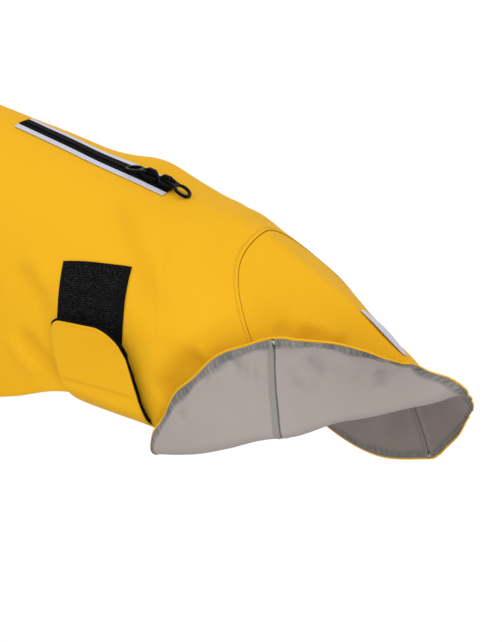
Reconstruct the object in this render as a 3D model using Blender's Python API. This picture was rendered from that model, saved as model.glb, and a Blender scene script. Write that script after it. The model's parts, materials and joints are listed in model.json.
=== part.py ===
"""Dog raincoat, filled out as worn, with its near rear hem turned up.

Frame: +X to the tail, +Z up, the near side is -Y.  The origin is on the
inner face of the back, on the spine, under the middle of the leash zip.
Tables and driving dimensions are in millimetres; meshes are in metres.
"""
import math
import bpy
import bmesh
import numpy as np
from mathutils import Matrix, Vector
from mathutils.geometry import tessellate_polygon

MM = 0.001

# ---- driving dimensions --------------------------------------------------
shell_wall = 1.2          # coated shell fabric with its seam bulk
lining_gap = 0.3          # air between shell and lining
lining_wall = 1.0
lining_inset = 2.0        # the shell edge shows this far beyond the lining
seam_half_gap = 0.2       # each side of a seam between two panels
on_cloth = 0.5            # air under anything that lies on the shell
tape_wall = 0.9           # zip tape
trim_wall = 0.6           # reflective trim
hook_wall = 1.2           # hook or loop tape
strap_wall = 1.6          # belly strap, two layers sewn together
zip_half = 5.8            # width of one zip tape
trim_wide = 4.8           # width of the reflective trim
zip_front, zip_rear = -74.0, 47.0
neck_share = 0.50         # share of the front edge left open for the neck
crisp_angle = 38.0        # edges sharper than this stay crisp

near_columns, far_columns, fold_columns = 25, 14, 7
body_stations = (list(np.linspace(0, 4, 8)) + [4.5, 4.85] + list(np.linspace(5.1, 6, 7))
                 + list(np.linspace(6, 9, 8))[1:])
rump_stations = list(np.linspace(9, 14, 9))
seam_station = 9.0

# ---- the coat's cross sections, nape to tail ------------------------------
# Each section runs from the spine (spine_x, spine_z) over the crown of the
# back to the hem (hem_x, hem_y, hem_z).  The crown handle sits lead behind
# the spine point, crown_y out and crown_drop down; the hem handle sits
# side_rise above the hem, tuck further out and rake along.
section_columns = ("name", "spine_x", "spine_z", "lead", "crown_y", "crown_drop",
                   "hem_x", "hem_y", "hem_z", "rake", "tuck", "side_rise")
sections = [
    ("neck",       -125,   33,  -4, 48,  2,  -116, 62, -164,  -6, 20, 92),
    ("withers",     -80,   21,   0, 58,  2,   -76, 76, -159,   0, 14, 95),
    ("shoulder",    -36,   10,   0, 62,  3,   -30, 84, -147,   0,  8, 90),
    ("girth",         8,  -2.5,  0, 64,  4,    10, 86, -134,   0,  6, 85),
    ("flank",        46,  -12,  -2, 64,  6,    50, 85, -132,   0,  4, 88),
    ("turn_start",   70,  -17,  -3, 63,  7,    81, 84, -140,   0,  4, 89),
    ("lobe_front",   82,  -19,  -6, 64,  9,    93, 84, -173,  -3,  5, 112),
    ("lobe_low",     94,  -21, -10, 64, 11,   123, 83, -198, -11,  5, 128),
    ("lobe",        106,  -25, -13, 63, 14,   165, 81, -211.5, -18,  4, 126),
    ("seam",        118,  -28, -16, 61, 18,   205, 78, -204, -20,  2, 105),
    ("hip",         148,  -44, -13, 52, 22,   215.5, 75, -198, -16,  2, 85),
    ("rump",        180,  -63, -10, 41, 22,   224, 71, -188, -10,  1, 62),
    ("tail_top",    214,  -90,  -8, 30, 18,   231.5, 66, -179,  -4,  2, 42),
    ("tail",        244, -109,  -6, 23, 14,   237, 61, -171.5,  3,  4, 28),
    ("tail_hem",    268, -116,  -2, 20,  8,   243, 56, -161,   6,  5, 18),
]

# ---- the turned-up hem of the near side -----------------------------------
# The cloth starts to roll outward where it passes below the line (x, z); the
# roll takes up `roll` of cloth and carries it round by `turn` degrees.
fold_columns_named = ("x", "z", "roll", "turn")
fold_line = [
    (20, -171.0, 12, 186),
    (82, -159.0, 12, 186),
    (110, -151.6, 16, 186),
    (140, -142.8, 20, 186),
    (182, -128.6, 15, 184),
    (225, -119.2, 12, 151),
    (245, -117.0, 10, 138),
    (268, -114.8, 8, 126),
]

# ---- belly strap: its two edges, from the far hem to the peeled tab ---------
strap_columns = ("name", "front_x", "front_y", "front_z", "rear_x", "rear_y", "rear_z")
strap_rows = [
    ("under_hem",     25.0,  80.0, -144,   80.0,  78.0, -151),
    ("belly_far",     26.0,  45.0, -160,   82.0,  44.0, -166),
    ("belly",         27.0,   0.0, -168,   83.0,   0.0, -173),
    ("belly_near",    25.0, -46.0, -159,   82.5, -46.0, -165),
    ("turn_in",       23.0, -80.0, -140,   81.5, -80.0, -147),
    ("turn_out",      21.0, -91.0, -130,   81.0, -91.0, -137),
    ("side",          16.5, -92.7, -121,   77.5, -93.0, -124),
    ("tab_low",       14.5, -93.2, -112,   74.0, -94.6, -110),
    ("tab",           13.0, -94.7,  -99,   70.0, -96.6,  -94),
    ("tip",           13.5, -98.0,  -79,   65.5, -101.0, -77),
]
strap_sewn = 26.0         # overlap sewn inside the far hem
tab_corner_front, tab_corner_rear = 9.0, 20.0
tab_hook_long = 44.0      # hook tape inside the tab
hook_margin = 0.8
hook_corner = 6.0         # front corner of the hook tape

# ---- loop patch on the near side: (section station, share of the section) ---
patch_corners = {"top_front": (3.03, 0.506), "top_rear": (4.37, 0.450),
                 "low_front": (3.04, 0.775), "low_rear": (4.33, 0.752)}

# ---- sliders and pulls -----------------------------------------------------
# under_ring is what lies between the shell and the pull's ring.
slider_columns = ("name", "spine_x", "pull_side", "under_ring")
sliders = [("front", 30.0, -1, on_cloth + tape_wall), ("rear", 42.5, +1, 0.0)]
slider_long, slider_wide, slider_high = 10.6, 8.4, 2.2
bridge_long, bridge_wide, bridge_high, bridge_bar = 8.8, 2.2, 4.0, 1.1
pull_thick, pull_bar, pull_frame_half = 1.3, 1.3, 2.9
pull_ring_at, pull_ring_out, pull_ring_in = 11.0, 6.0, 3.7

materials = {
    "yellow_shell": ((0.930, 0.475, 0.030), 0.45),
    "grey_lining": ((0.330, 0.305, 0.290), 0.62),
    "hook_and_loop": ((0.012, 0.012, 0.013), 0.85),
    "zip_black": ((0.015, 0.014, 0.014), 0.60),
    "zip_hardware": ((0.020, 0.020, 0.020), 0.38),
    "reflective": ((0.620, 0.620, 0.690), 0.40),
}


# ---- curves ----------------------------------------------------------------
def along(table, place):
    """Smooth value of the table's rows at a fractional row number."""
    place = min(max(place, 0.0), len(table) - 1.0)
    i = min(int(place), len(table) - 2)
    f = place - i
    b, c = table[i], table[i + 1]
    a = table[i - 1] if i > 0 else 2 * b - c
    d = table[i + 2] if i + 2 < len(table) else 2 * c - b
    return 0.5 * (2 * b + (c - a) * f + (2 * a - 5 * b + 4 * c - d) * f * f
                  + (3 * b - a - 3 * c + d) * f ** 3)


def numbers(rows):
    """The numeric columns of a table whose first column is a name."""
    return np.array([row[1:] for row in rows], float)


def hermite(xs, ys, x):
    """Smooth curve through (xs, ys) that never overshoots, and its slope."""
    step = np.diff(xs)
    rise = np.diff(ys) / step
    slope = np.empty(len(xs))
    slope[0], slope[-1] = rise[0], rise[-1]
    for k in range(1, len(xs) - 1):
        if rise[k - 1] * rise[k] <= 0:
            slope[k] = 0.0
        else:
            wa, wb = 2 * step[k] + step[k - 1], step[k] + 2 * step[k - 1]
            slope[k] = (wa + wb) / (wa / rise[k - 1] + wb / rise[k])
    x = np.clip(x, xs[0], xs[-1])
    k = np.clip(np.searchsorted(xs, x) - 1, 0, len(xs) - 2)
    h, t = step[k], (x - xs[k]) / step[k]
    value = ((1 + 2 * t) * (1 - t) ** 2 * ys[k] + t * (1 - t) ** 2 * h * slope[k]
             + t * t * (3 - 2 * t) * ys[k + 1] + t * t * (t - 1) * h * slope[k + 1])
    grade = (6 * t * (t - 1) * (ys[k] - ys[k + 1]) / h
             + (1 - t) * (1 - 3 * t) * slope[k] + t * (3 * t - 2) * slope[k + 1])
    return value, grade


def lengths(points):
    steps = np.linalg.norm(np.diff(points, axis=0), axis=1)
    return np.concatenate([[0.0], np.cumsum(steps)])


def at_lengths(points, wanted):
    run = lengths(points)
    return np.stack([np.interp(wanted, run, points[:, k]) for k in range(3)], axis=1)


def even(points, count):
    return at_lengths(points, np.linspace(0, lengths(points)[-1], count))


def turned(axis, angle):
    """Rotation matrix about a unit axis."""
    x, y, z = axis
    cross = np.array([[0, -z, y], [z, 0, -x], [-y, x, 0]])
    return np.eye(3) + math.sin(angle) * cross + (1 - math.cos(angle)) * cross @ cross


# ---- the cloth surface -------------------------------------------------------
section_numbers = numbers(sections)
fold_table = np.array(fold_line, float)


def section(station, side, count=241):
    """The section before its hem is turned up, spine to hem, evenly spaced."""
    (spine_x, spine_z, lead, crown_y, crown_drop,
     hem_x, hem_y, hem_z, rake, tuck, side_rise) = along(section_numbers, station)
    t = np.linspace(0, 1, 161)[:, None]
    spine = np.array([spine_x, 0, spine_z])
    crown = np.array([spine_x + lead, side * crown_y, spine_z - crown_drop])
    flank = np.array([hem_x + rake, side * (hem_y + tuck), hem_z + side_rise])
    hem = np.array([hem_x, side * hem_y, hem_z])
    curve = ((1 - t) ** 3 * spine + 3 * (1 - t) ** 2 * t * crown
             + 3 * (1 - t) * t * t * flank + t ** 3 * hem)
    return even(curve, count)


def below_fold(points):
    """How far each point lies below the fold line, square to the line."""
    height, grade = hermite(fold_table[:, 0], fold_table[:, 1], points[:, 0])
    return (height - points[:, 2]) / np.sqrt(1 + grade ** 2)


def fold_path():
    """Points where the sections cross the fold line, with the line's direction."""
    points = []
    for station in np.linspace(4.6, len(sections) - 1.0, 90):
        flat = section(station, -1)
        depth = below_fold(flat)
        if depth[-1] <= 0:
            continue
        j = int(np.argmax(depth > 0))
        if j == 0:
            points.append(flat[0])
        else:
            f = -depth[j - 1] / (depth[j] - depth[j - 1])
            points.append(flat[j - 1] + (flat[j] - flat[j - 1]) * f)
    points = np.array(points)
    direction = np.gradient(points, axis=0)
    for _ in range(6):
        direction[1:-1] = (direction[:-2] + 2 * direction[1:-1] + direction[2:]) / 4
    return points, direction / np.linalg.norm(direction, axis=1)[:, None]


fold_points, fold_directions = fold_path()


def near_section(station, columns=near_columns):
    """Near-side section with its hem rolled up; more columns where it rolls."""
    flat = section(station, -1, 361)
    steps = np.diff(flat, axis=0)
    middle = 0.5 * (flat[1:] + flat[:-1])
    roll = np.interp(middle[:, 0], fold_table[:, 0], fold_table[:, 2])
    turn = np.interp(middle[:, 0], fold_table[:, 0], fold_table[:, 3])
    share = np.clip(below_fold(middle) / roll, 0, 1)
    points = [flat[0]]
    for k, step in enumerate(steps):
        if share[k] > 0:
            nearest = int(np.argmin(((fold_points - middle[k]) ** 2).sum(axis=1)))
            step = turned(fold_directions[nearest], -math.radians(turn[k]) * share[k]) @ step
        points.append(points[-1] + step)
    points = np.array(points)
    run = lengths(points)
    near_fold = np.clip((below_fold(middle) / roll + 0.5) / 2.0, 0, 1)
    near_fold = near_fold ** 2 * (3 - 2 * near_fold)
    rolled = np.concatenate([[0.0], np.cumsum(np.abs(np.diff(near_fold, prepend=near_fold[0])))])
    extra = fold_columns * min(1.0, rolled[-1])
    count = (columns - 1 - extra) * run / run[-1] + extra * rolled / max(rolled[-1], 1e-9)
    places = np.interp(np.arange(columns), count, run) * (1 - lining_inset / run[-1])
    return at_lengths(points, np.append(places, run[-1]))


def far_section(station, columns=far_columns):
    points = section(station, +1)
    whole = lengths(points)[-1]
    return at_lengths(points, np.append(np.linspace(0, whole - lining_inset, columns), whole))


def full_row(station):
    """Near hem, over the spine, to the far hem."""
    return np.concatenate([near_section(station)[::-1], far_section(station)[1:]])


def normals(grid):
    """Outward unit normals of a grid of points (rows to the tail, columns to +Y)."""
    along_rows = np.gradient(grid, axis=0)
    along_columns = np.gradient(grid, axis=1)
    n = np.cross(along_rows, along_columns)
    n /= np.linalg.norm(n, axis=2)[:, :, None]
    n[1:-1] = (n[:-2] + 4 * n[1:-1] + n[2:]) / 6
    return n / np.linalg.norm(n, axis=2)[:, :, None]


def pulled_in(grid, outward, row, neighbour, distance):
    """Move one row of a grid, and its normals, toward the neighbouring row."""
    step = grid[neighbour] - grid[row]
    share = distance / np.linalg.norm(step, axis=1)[:, None]
    grid[row] += step * share
    outward[row] += (outward[neighbour] - outward[row]) * share


# ---- solids ------------------------------------------------------------------
def smooth(mesh):
    """Rounded cloth shades smooth; cut edges stay crisp."""
    mesh.shade_smooth()
    mesh.set_sharp_from_angle(angle=math.radians(crisp_angle))


def solid(name, vertices, faces, slot):
    mesh = bpy.data.meshes.new(name)
    mesh.from_pydata([tuple(v * MM) for v in vertices], [], faces)
    work = bmesh.new()
    work.from_mesh(mesh)
    bmesh.ops.remove_doubles(work, verts=work.verts, dist=1e-7)
    bmesh.ops.recalc_face_normals(work, faces=work.faces)
    bmesh.ops.triangulate(work, faces=work.faces)
    if work.calc_volume(signed=True) < 0:
        bmesh.ops.reverse_faces(work, faces=work.faces)
    work.to_mesh(mesh)
    work.free()
    smooth(mesh)
    thing = bpy.data.objects.new(name, mesh)
    bpy.context.collection.objects.link(thing)
    mesh.materials.append(slot_material(slot))
    return thing


def slot_material(slot):
    if slot in bpy.data.materials:
        return bpy.data.materials[slot]
    colour, roughness = materials[slot]
    material = bpy.data.materials.new(slot)
    material.use_nodes = True
    shader = material.node_tree.nodes["Principled BSDF"]
    shader.inputs["Base Color"].default_value = (*colour, 1)
    shader.inputs["Roughness"].default_value = roughness
    return material


def sheet(name, upper, lower, slot):
    """Closed sheet between two grids of the same shape."""
    rows, columns = upper.shape[:2]
    vertices = np.concatenate([upper.reshape(-1, 3), lower.reshape(-1, 3)])
    base = rows * columns
    faces = []
    for i in range(rows - 1):
        for j in range(columns - 1):
            a, b = i * columns + j, i * columns + j + 1
            c, d = a + columns, b + columns
            faces += [(a, b, d), (a, d, c), (base + a, base + d, base + b), (base + a, base + c, base + d)]
    rim = ([j for j in range(columns)]
           + [i * columns + columns - 1 for i in range(1, rows)]
           + [(rows - 1) * columns + j for j in range(columns - 2, -1, -1)]
           + [i * columns for i in range(rows - 2, 0, -1)])
    for a, b in zip(rim, rim[1:] + rim[:1]):
        faces += [(a, base + a, base + b), (a, base + b, b)]
    return solid(name, vertices, faces, slot)


def plate(name, outline, holes, low, high, slot, place):
    """Flat plate with holes, `low` to `high` thick, set by a placing matrix."""
    loops = [outline] + holes
    flat = [Vector((x, y, 0)) for loop in loops for x, y in loop]
    faces = [tuple(t) for t in tessellate_polygon([[Vector((x, y, 0)) for x, y in loop] for loop in loops])]
    count = len(flat)
    vertices = [(v.x, v.y, high) for v in flat] + [(v.x, v.y, low) for v in flat]
    faces = faces + [tuple(count + k for k in reversed(t)) for t in faces]
    start = 0
    for loop in loops:
        for k in range(len(loop)):
            a, b = start + k, start + (k + 1) % len(loop)
            faces.append((a, b, count + b, count + a))
        start += len(loop)
    placed = np.array([tuple(place @ Vector(v)) for v in vertices])
    return solid(name, placed, faces, slot)


def joined(first, second):
    """Union of two solids, kept under the first one's name."""
    union = first.modifiers.new("union", "BOOLEAN")
    union.operation, union.solver, union.object = "UNION", "EXACT", second
    graph = bpy.context.evaluated_depsgraph_get()
    mesh = bpy.data.meshes.new_from_object(first.evaluated_get(graph))
    first.modifiers.remove(union)
    work = bmesh.new()
    work.from_mesh(mesh)
    bmesh.ops.remove_doubles(work, verts=work.verts, dist=2e-6)
    bmesh.ops.dissolve_degenerate(work, dist=2e-6, edges=work.edges)
    bmesh.ops.triangulate(work, faces=work.faces)
    work.to_mesh(mesh)
    work.free()
    smooth(mesh)
    mesh.materials.clear()
    mesh.materials.append(first.data.materials[0])
    first.data = mesh
    bpy.data.objects.remove(second, do_unlink=True)
    return first


# ---- panels and linings ------------------------------------------------------
def surface_point(station, side, share):
    """Point and outward normal of the unturned cloth at a share of a section."""
    def spot(u, v):
        return at_lengths(section(u, side), [v * lengths(section(u, side))[-1]])[0]
    here = spot(station, share)
    lengthwise = spot(min(station + 0.05, 14), share) - spot(max(station - 0.05, 0), share)
    across = spot(station, min(share + 0.01, 1)) - spot(station, max(share - 0.01, 0))
    n = np.cross(lengthwise, across) * side
    return here, n / np.linalg.norm(n)


def inner_row(edge, neighbour):
    """Row of points one lining inset inside a free edge."""
    step = neighbour - edge
    return edge + step / np.linalg.norm(step, axis=1)[:, None] * lining_inset


def build_panels(origin):
    rows = [full_row(u) for u in body_stations + rump_stations[1:]]
    rows.insert(1, inner_row(rows[0], rows[1]))
    rows.insert(-1, inner_row(rows[-1], rows[-2]))
    grid = np.array(rows) - origin
    outward = normals(grid)
    seam_row = len(body_stations)
    depth = shell_wall + lining_gap
    for shell, lining, start, stop, seam, beside in (
            ("back_shell", "lining_back", 0, seam_row + 1, -1, -2),
            ("rump_panel", "lining_rump", seam_row, len(rows), 0, 1)):
        points, n = grid[start:stop].copy(), outward[start:stop].copy()
        pulled_in(points, n, seam, beside, seam_half_gap)
        sheet(shell, points, points - n * shell_wall, "yellow_shell")
        kept = slice(1, None) if shell == "back_shell" else slice(0, -1)
        points, n = points[kept, 1:-1], n[kept, 1:-1]
        sheet(lining, points - n * depth, points - n * (depth + lining_wall), "grey_lining")
    return grid, outward


def build_chest(origin):
    """Plain panel across the chest, joined to the lower part of the front edge."""
    levels, columns = 7, 14
    rows = []
    for share in np.linspace(neck_share, 1.0, levels):
        down = (share - neck_share) / (1 - neck_share)
        edge, _ = surface_point(0.0, -1, share)
        bulge = 36 + 30 * down
        dip = 16 * (1 - down)
        t = np.linspace(0, 1, columns + 1)[:, None]
        a = edge + np.array([-seam_half_gap * 2, 0, 0])
        d = a * np.array([1, -1, 1])
        b = a + np.array([-bulge, -2.0, -dip])
        c = b * np.array([1, -1, 1])
        rows.append((1 - t) ** 3 * a + 3 * (1 - t) ** 2 * t * b + 3 * (1 - t) * t * t * c + t ** 3 * d)
    grid = np.array(rows) - origin
    n = -normals(grid)
    for end, share_list in ((0, -1), (-1, 1)):
        for row, share in enumerate(np.linspace(neck_share, 1.0, levels)):
            n[row, end] = surface_point(0.0, share_list, share)[1]
    sheet("chest_panel", grid, grid - n * shell_wall, "yellow_shell")


# ---- things that lie on the back ---------------------------------------------
def station_at(x):
    """Section station whose spine point has this x."""
    stations = np.linspace(0, 14, 1401)
    spine = np.array([along(section_numbers, u)[0] for u in stations])
    return float(np.interp(x, spine, stations))


def back_patch(stations, side, start, stop, columns):
    """Grid over the back between two distances from the spine, with normals."""
    points, outward = [], []
    for u in stations:
        whole = lengths(section(u, side))[-1]
        row = [surface_point(u, side, s / whole) for s in np.linspace(start, stop, columns + 1)]
        points.append([p for p, _ in row])
        outward.append([n for _, n in row])
    return np.array(points), np.array(outward)


def lying(name, points, outward, low, wall, slot, origin):
    points = points - origin
    sheet(name, points + outward * (low + wall), points + outward * low, slot)


def build_zip(origin):
    stations = [station_at(x) for x in np.linspace(zip_front, zip_rear, 13)]
    for word, side in (("left", -1), ("right", +1)):
        tape, n = back_patch(stations, side, 0.2, zip_half, 2)
        lying("zip_tape_" + word, tape, n, on_cloth, tape_wall, "zip_black", origin)
        trim, n = back_patch(stations, side, zip_half + 0.4, zip_half + 0.4 + trim_wide, 2)
        lying("reflective_strip_" + word, trim, n, on_cloth, trim_wall, "reflective", origin)


def build_rump_trim(origin):
    """Short reflective strip at the centre back, bowed off the cloth."""
    stations = [station_at(x) for x in np.linspace(188, 224, 9)]
    points, n = back_patch(stations, +1, 0.5, 12.5, 3)
    bow = 3.6 * np.sin(np.linspace(0, math.pi, 9))[:, None, None]
    lying("rump_reflective_strip", points + n * bow, n, on_cloth, trim_wall, "reflective", origin)


def build_loop_patch(origin):
    rows, columns = 8, 8
    points, outward = [], []
    for i in range(rows + 1):
        f = i / rows
        line, ns = [], []
        for j in range(columns + 1):
            g = j / columns
            top = np.array(patch_corners["top_front"]) * (1 - f) + np.array(patch_corners["top_rear"]) * f
            low = np.array(patch_corners["low_front"]) * (1 - f) + np.array(patch_corners["low_rear"]) * f
            u, share = top * (1 - g) + low * g
            p, n = surface_point(u, -1, share)
            line.append(p)
            ns.append(n)
        points.append(line)
        outward.append(ns)
    lying("side_loop_patch", np.array(points), np.array(outward), on_cloth, hook_wall, "hook_and_loop", origin)


# ---- belly strap ---------------------------------------------------------------
def strap_edges():
    """Front and rear edge points from the sewn end to the tip."""
    table = numbers(strap_rows)
    inside = shell_wall + lining_gap + lining_wall + on_cloth
    sewn = []
    for up in (strap_sewn, strap_sewn / 2, 1.0):
        row = []
        for station in (3.36, 4.98):
            whole = lengths(section(station, +1))[-1]
            p, n = surface_point(station, +1, 1 - up / whole)
            row.append(p - n * inside)
        sewn.append(np.concatenate(row))
    return np.concatenate([np.array(sewn), table])


def strap_point(edges, place, across):
    """Point of the strap's outer face; across runs 0 (front edge) to 1 (rear)."""
    front, rear = np.split(along(edges, place), 2)
    return front + (rear - front) * across


def strap_grid(edges, start, lengthwise, columns, margin, corner_front):
    """Grid of the strap's outer face with the tip's corners rounded off."""
    places = np.linspace(0, len(edges) - 1, 200)
    run = lengths(np.array([strap_point(edges, p, 0.5) for p in places]))
    wide = 60.0
    grid = []
    across = np.linspace(margin / wide, 1 - margin / wide, columns + 1)
    for across_share in across:
        d_front, d_rear = across_share * wide, (1 - across_share) * wide
        cut = margin
        for d, corner in ((d_front, corner_front), (d_rear, tab_corner_rear)):
            if d < corner:
                cut = max(cut, margin + corner - math.sqrt(max(corner ** 2 - (corner - d) ** 2, 0)))
        stop = run[-1] - cut
        line = []
        for f in lengthwise:
            s = start + (stop - start) * f if start >= 0 else (run[-1] + start) + (stop - run[-1] - start) * f
            line.append(strap_point(edges, float(np.interp(s, run, places)), across_share))
        grid.append(line)
    return np.array(grid).transpose(1, 0, 2)


def build_strap(origin):
    edges = strap_edges()
    grid = strap_grid(edges, 0.0, np.linspace(0, 1, 37), 8, 0.0, tab_corner_front) - origin
    outward = strap_normals(grid)
    sheet("belly_strap", grid, grid - outward * strap_wall, "yellow_shell")
    hook = strap_grid(edges, -tab_hook_long, np.linspace(0, 1, 9), 8, hook_margin, hook_corner) - origin
    n = strap_normals(hook)
    low = strap_wall + lining_gap
    sheet("strap_hook_patch", hook - n * low, hook - n * (low + hook_wall), "hook_and_loop")


def strap_normals(grid):
    n = normals(grid)
    tab = n[-1, n.shape[1] // 2]
    return n if tab[1] < 0 else -n


# ---- sliders and pulls ------------------------------------------------------------
def circle(x, y, radius, count, start=0.0, stop=360.0, closed=True):
    angles = np.radians(np.linspace(start, stop, count, endpoint=not closed))
    return [(x + radius * math.cos(a), y + radius * math.sin(a)) for a in angles]


def build_sliders(origin):
    """Two sliders head to head; each pull hangs from its bridge onto the cloth."""
    places, rings = {}, {}
    for name, spine_x, pull_side, under_ring in sliders:
        station = station_at(spine_x)
        here, n = surface_point(station, +1, 0.0)
        ahead = along(section_numbers, station + 0.05)[:2] - along(section_numbers, station - 0.05)[:2]
        tangent = Vector((ahead[0], 0, ahead[1])).normalized() * pull_side
        up = Vector((-tangent.z, 0, tangent.x)) * pull_side
        side = up.cross(tangent)
        frame = Matrix((tangent, side, up)).transposed().to_4x4()
        seat = Vector(tuple(here - origin)) + up * (on_cloth + tape_wall + 0.4)
        place = Matrix.Translation(seat) @ frame
        half, wide = slider_long / 2, slider_wide / 2
        outline = [(-half, -wide * 0.62), (-half * 0.5, -wide), (half * 0.72, -wide), (half, -wide * 0.7),
                   (half, wide * 0.7), (half * 0.72, wide), (-half * 0.5, wide), (-half, wide * 0.62)]
        body = plate("zip_slider_" + name, outline, [], 0, slider_high, "zip_hardware", place)
        top, arch = slider_high, bridge_high
        long = bridge_long / 2
        profile = [(-long, top - 0.6), (long, top - 0.6), (long, top + arch * 0.62), (long * 0.62, top + arch),
                   (-long * 0.62, top + arch), (-long, top + arch * 0.62)]
        hole = [(-long + bridge_bar, top), (long - bridge_bar, top), (long - bridge_bar, top + arch * 0.42),
                (long * 0.5, top + arch - bridge_bar), (-long * 0.5, top + arch - bridge_bar),
                (-long + bridge_bar, top + arch * 0.42)]
        upright = Matrix((tangent, up, -side)).transposed().to_4x4()
        bridge = plate("bridge", profile, [hole[::-1]], -bridge_wide / 2, bridge_wide / 2, "zip_hardware",
                       Matrix.Translation(seat) @ upright)
        joined(body, bridge)
        pivot_x = long - bridge_bar - pull_bar / 2 - 0.6
        pivot_z = top + 1.0 + pull_thick / 2
        pivot = place @ Vector((pivot_x, 0, pivot_z))
        places[name] = pivot
        inner = pull_bar / 2
        slot_half = bridge_wide / 2 + 0.45
        slot_end = inner + bridge_bar + 3.3
        neck = pull_ring_at - math.sqrt(pull_ring_out ** 2 - 2.4 ** 2)
        outline = ([(-inner, pull_frame_half), (-inner, -pull_frame_half), (slot_end, -pull_frame_half), (neck, -2.4)]
                   + circle(pull_ring_at, 0, pull_ring_out, 17, -180 + 23.6, 180 - 23.6, closed=False)
                   + [(neck, 2.4), (slot_end, pull_frame_half)])
        outline = [p for k, p in enumerate(outline) if math.dist(p, outline[k - 1]) > 0.05]
        slot_hole = [(inner, slot_half), (slot_end - 0.9, slot_half), (slot_end - 0.9, -slot_half), (inner, -slot_half)]
        ring_hole = circle(pull_ring_at, 0, pull_ring_in, 16)[::-1]
        above = on_cloth + tape_wall + 0.4 + pivot_z
        lean = math.asin((above - pull_thick / 2 - 0.7 - under_ring) / (pull_ring_at + pull_ring_out))
        drop = Matrix.Translation(pivot) @ frame @ Matrix.Rotation(lean, 4, "Y")
        pull = plate("zip_pull_" + name, outline, [slot_hole, ring_hole], -pull_thick / 2, pull_thick / 2,
                     "zip_hardware", drop)
        pull.data.transform(Matrix.Translation(-pivot * MM))
        pull.location = pivot * MM
        rings[name] = drop @ Vector((pull_ring_at, 0, 0))
    return places, rings


def main():
    for thing in list(bpy.data.objects):
        bpy.data.objects.remove(thing, do_unlink=True)
    top, n = surface_point(station_at(0.0), +1, 0.0)
    origin = top - n * (shell_wall + lining_gap + lining_wall)
    origin[0], origin[1] = 0.0, 0.0
    build_panels(origin)
    build_chest(origin)
    build_zip(origin)
    build_rump_trim(origin)
    build_loop_patch(origin)
    build_strap(origin)
    pivots, rings = build_sliders(origin)
    print("origin drop", round(float(origin[2]), 2))
    for name, pivot in pivots.items():
        print("pull pivot", name, [round(c, 2) for c in pivot], "ring", [round(c, 2) for c in rings[name]])
    total = 0
    for thing in bpy.data.objects:
        work = bmesh.new()
        work.from_mesh(thing.data)
        count = len(work.faces)
        open_edges = sum(1 for e in work.edges if not e.is_manifold)
        print(thing.name, count, "faces", open_edges, "open edges", round(work.calc_volume() * 1e9), "mm3")
        total += count
        work.free()
    print("total", total)


main()
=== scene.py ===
import json
import math

import bmesh
import bpy
import numpy as np
from mathutils import Matrix, Vector, noise

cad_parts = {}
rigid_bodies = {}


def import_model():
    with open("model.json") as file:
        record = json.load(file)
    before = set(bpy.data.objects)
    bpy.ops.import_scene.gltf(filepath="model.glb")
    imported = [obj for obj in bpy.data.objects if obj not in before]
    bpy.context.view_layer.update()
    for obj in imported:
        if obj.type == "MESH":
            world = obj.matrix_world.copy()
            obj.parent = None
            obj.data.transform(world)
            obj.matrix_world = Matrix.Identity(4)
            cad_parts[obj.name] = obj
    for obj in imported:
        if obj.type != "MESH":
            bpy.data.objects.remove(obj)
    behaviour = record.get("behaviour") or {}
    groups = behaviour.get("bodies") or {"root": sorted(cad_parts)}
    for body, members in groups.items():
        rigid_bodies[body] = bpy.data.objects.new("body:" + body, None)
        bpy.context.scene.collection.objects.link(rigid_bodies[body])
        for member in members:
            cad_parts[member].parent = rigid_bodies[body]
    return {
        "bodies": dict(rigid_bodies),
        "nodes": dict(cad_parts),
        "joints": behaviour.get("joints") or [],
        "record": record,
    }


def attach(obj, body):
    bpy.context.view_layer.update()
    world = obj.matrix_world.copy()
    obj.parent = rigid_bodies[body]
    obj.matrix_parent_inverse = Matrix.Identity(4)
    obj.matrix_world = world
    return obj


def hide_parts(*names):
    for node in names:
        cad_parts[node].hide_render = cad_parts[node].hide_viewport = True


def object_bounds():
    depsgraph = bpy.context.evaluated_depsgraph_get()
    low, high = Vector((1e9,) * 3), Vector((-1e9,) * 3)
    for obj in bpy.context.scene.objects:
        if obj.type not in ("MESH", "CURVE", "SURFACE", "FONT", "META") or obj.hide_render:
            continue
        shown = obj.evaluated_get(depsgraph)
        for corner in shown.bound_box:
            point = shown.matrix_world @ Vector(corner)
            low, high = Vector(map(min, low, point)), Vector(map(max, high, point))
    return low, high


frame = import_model()
cadBox = [list(corner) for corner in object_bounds()]
nodes = frame["nodes"]
mm = 0.001
print("frame loaded", len(nodes), "nodes")

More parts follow.
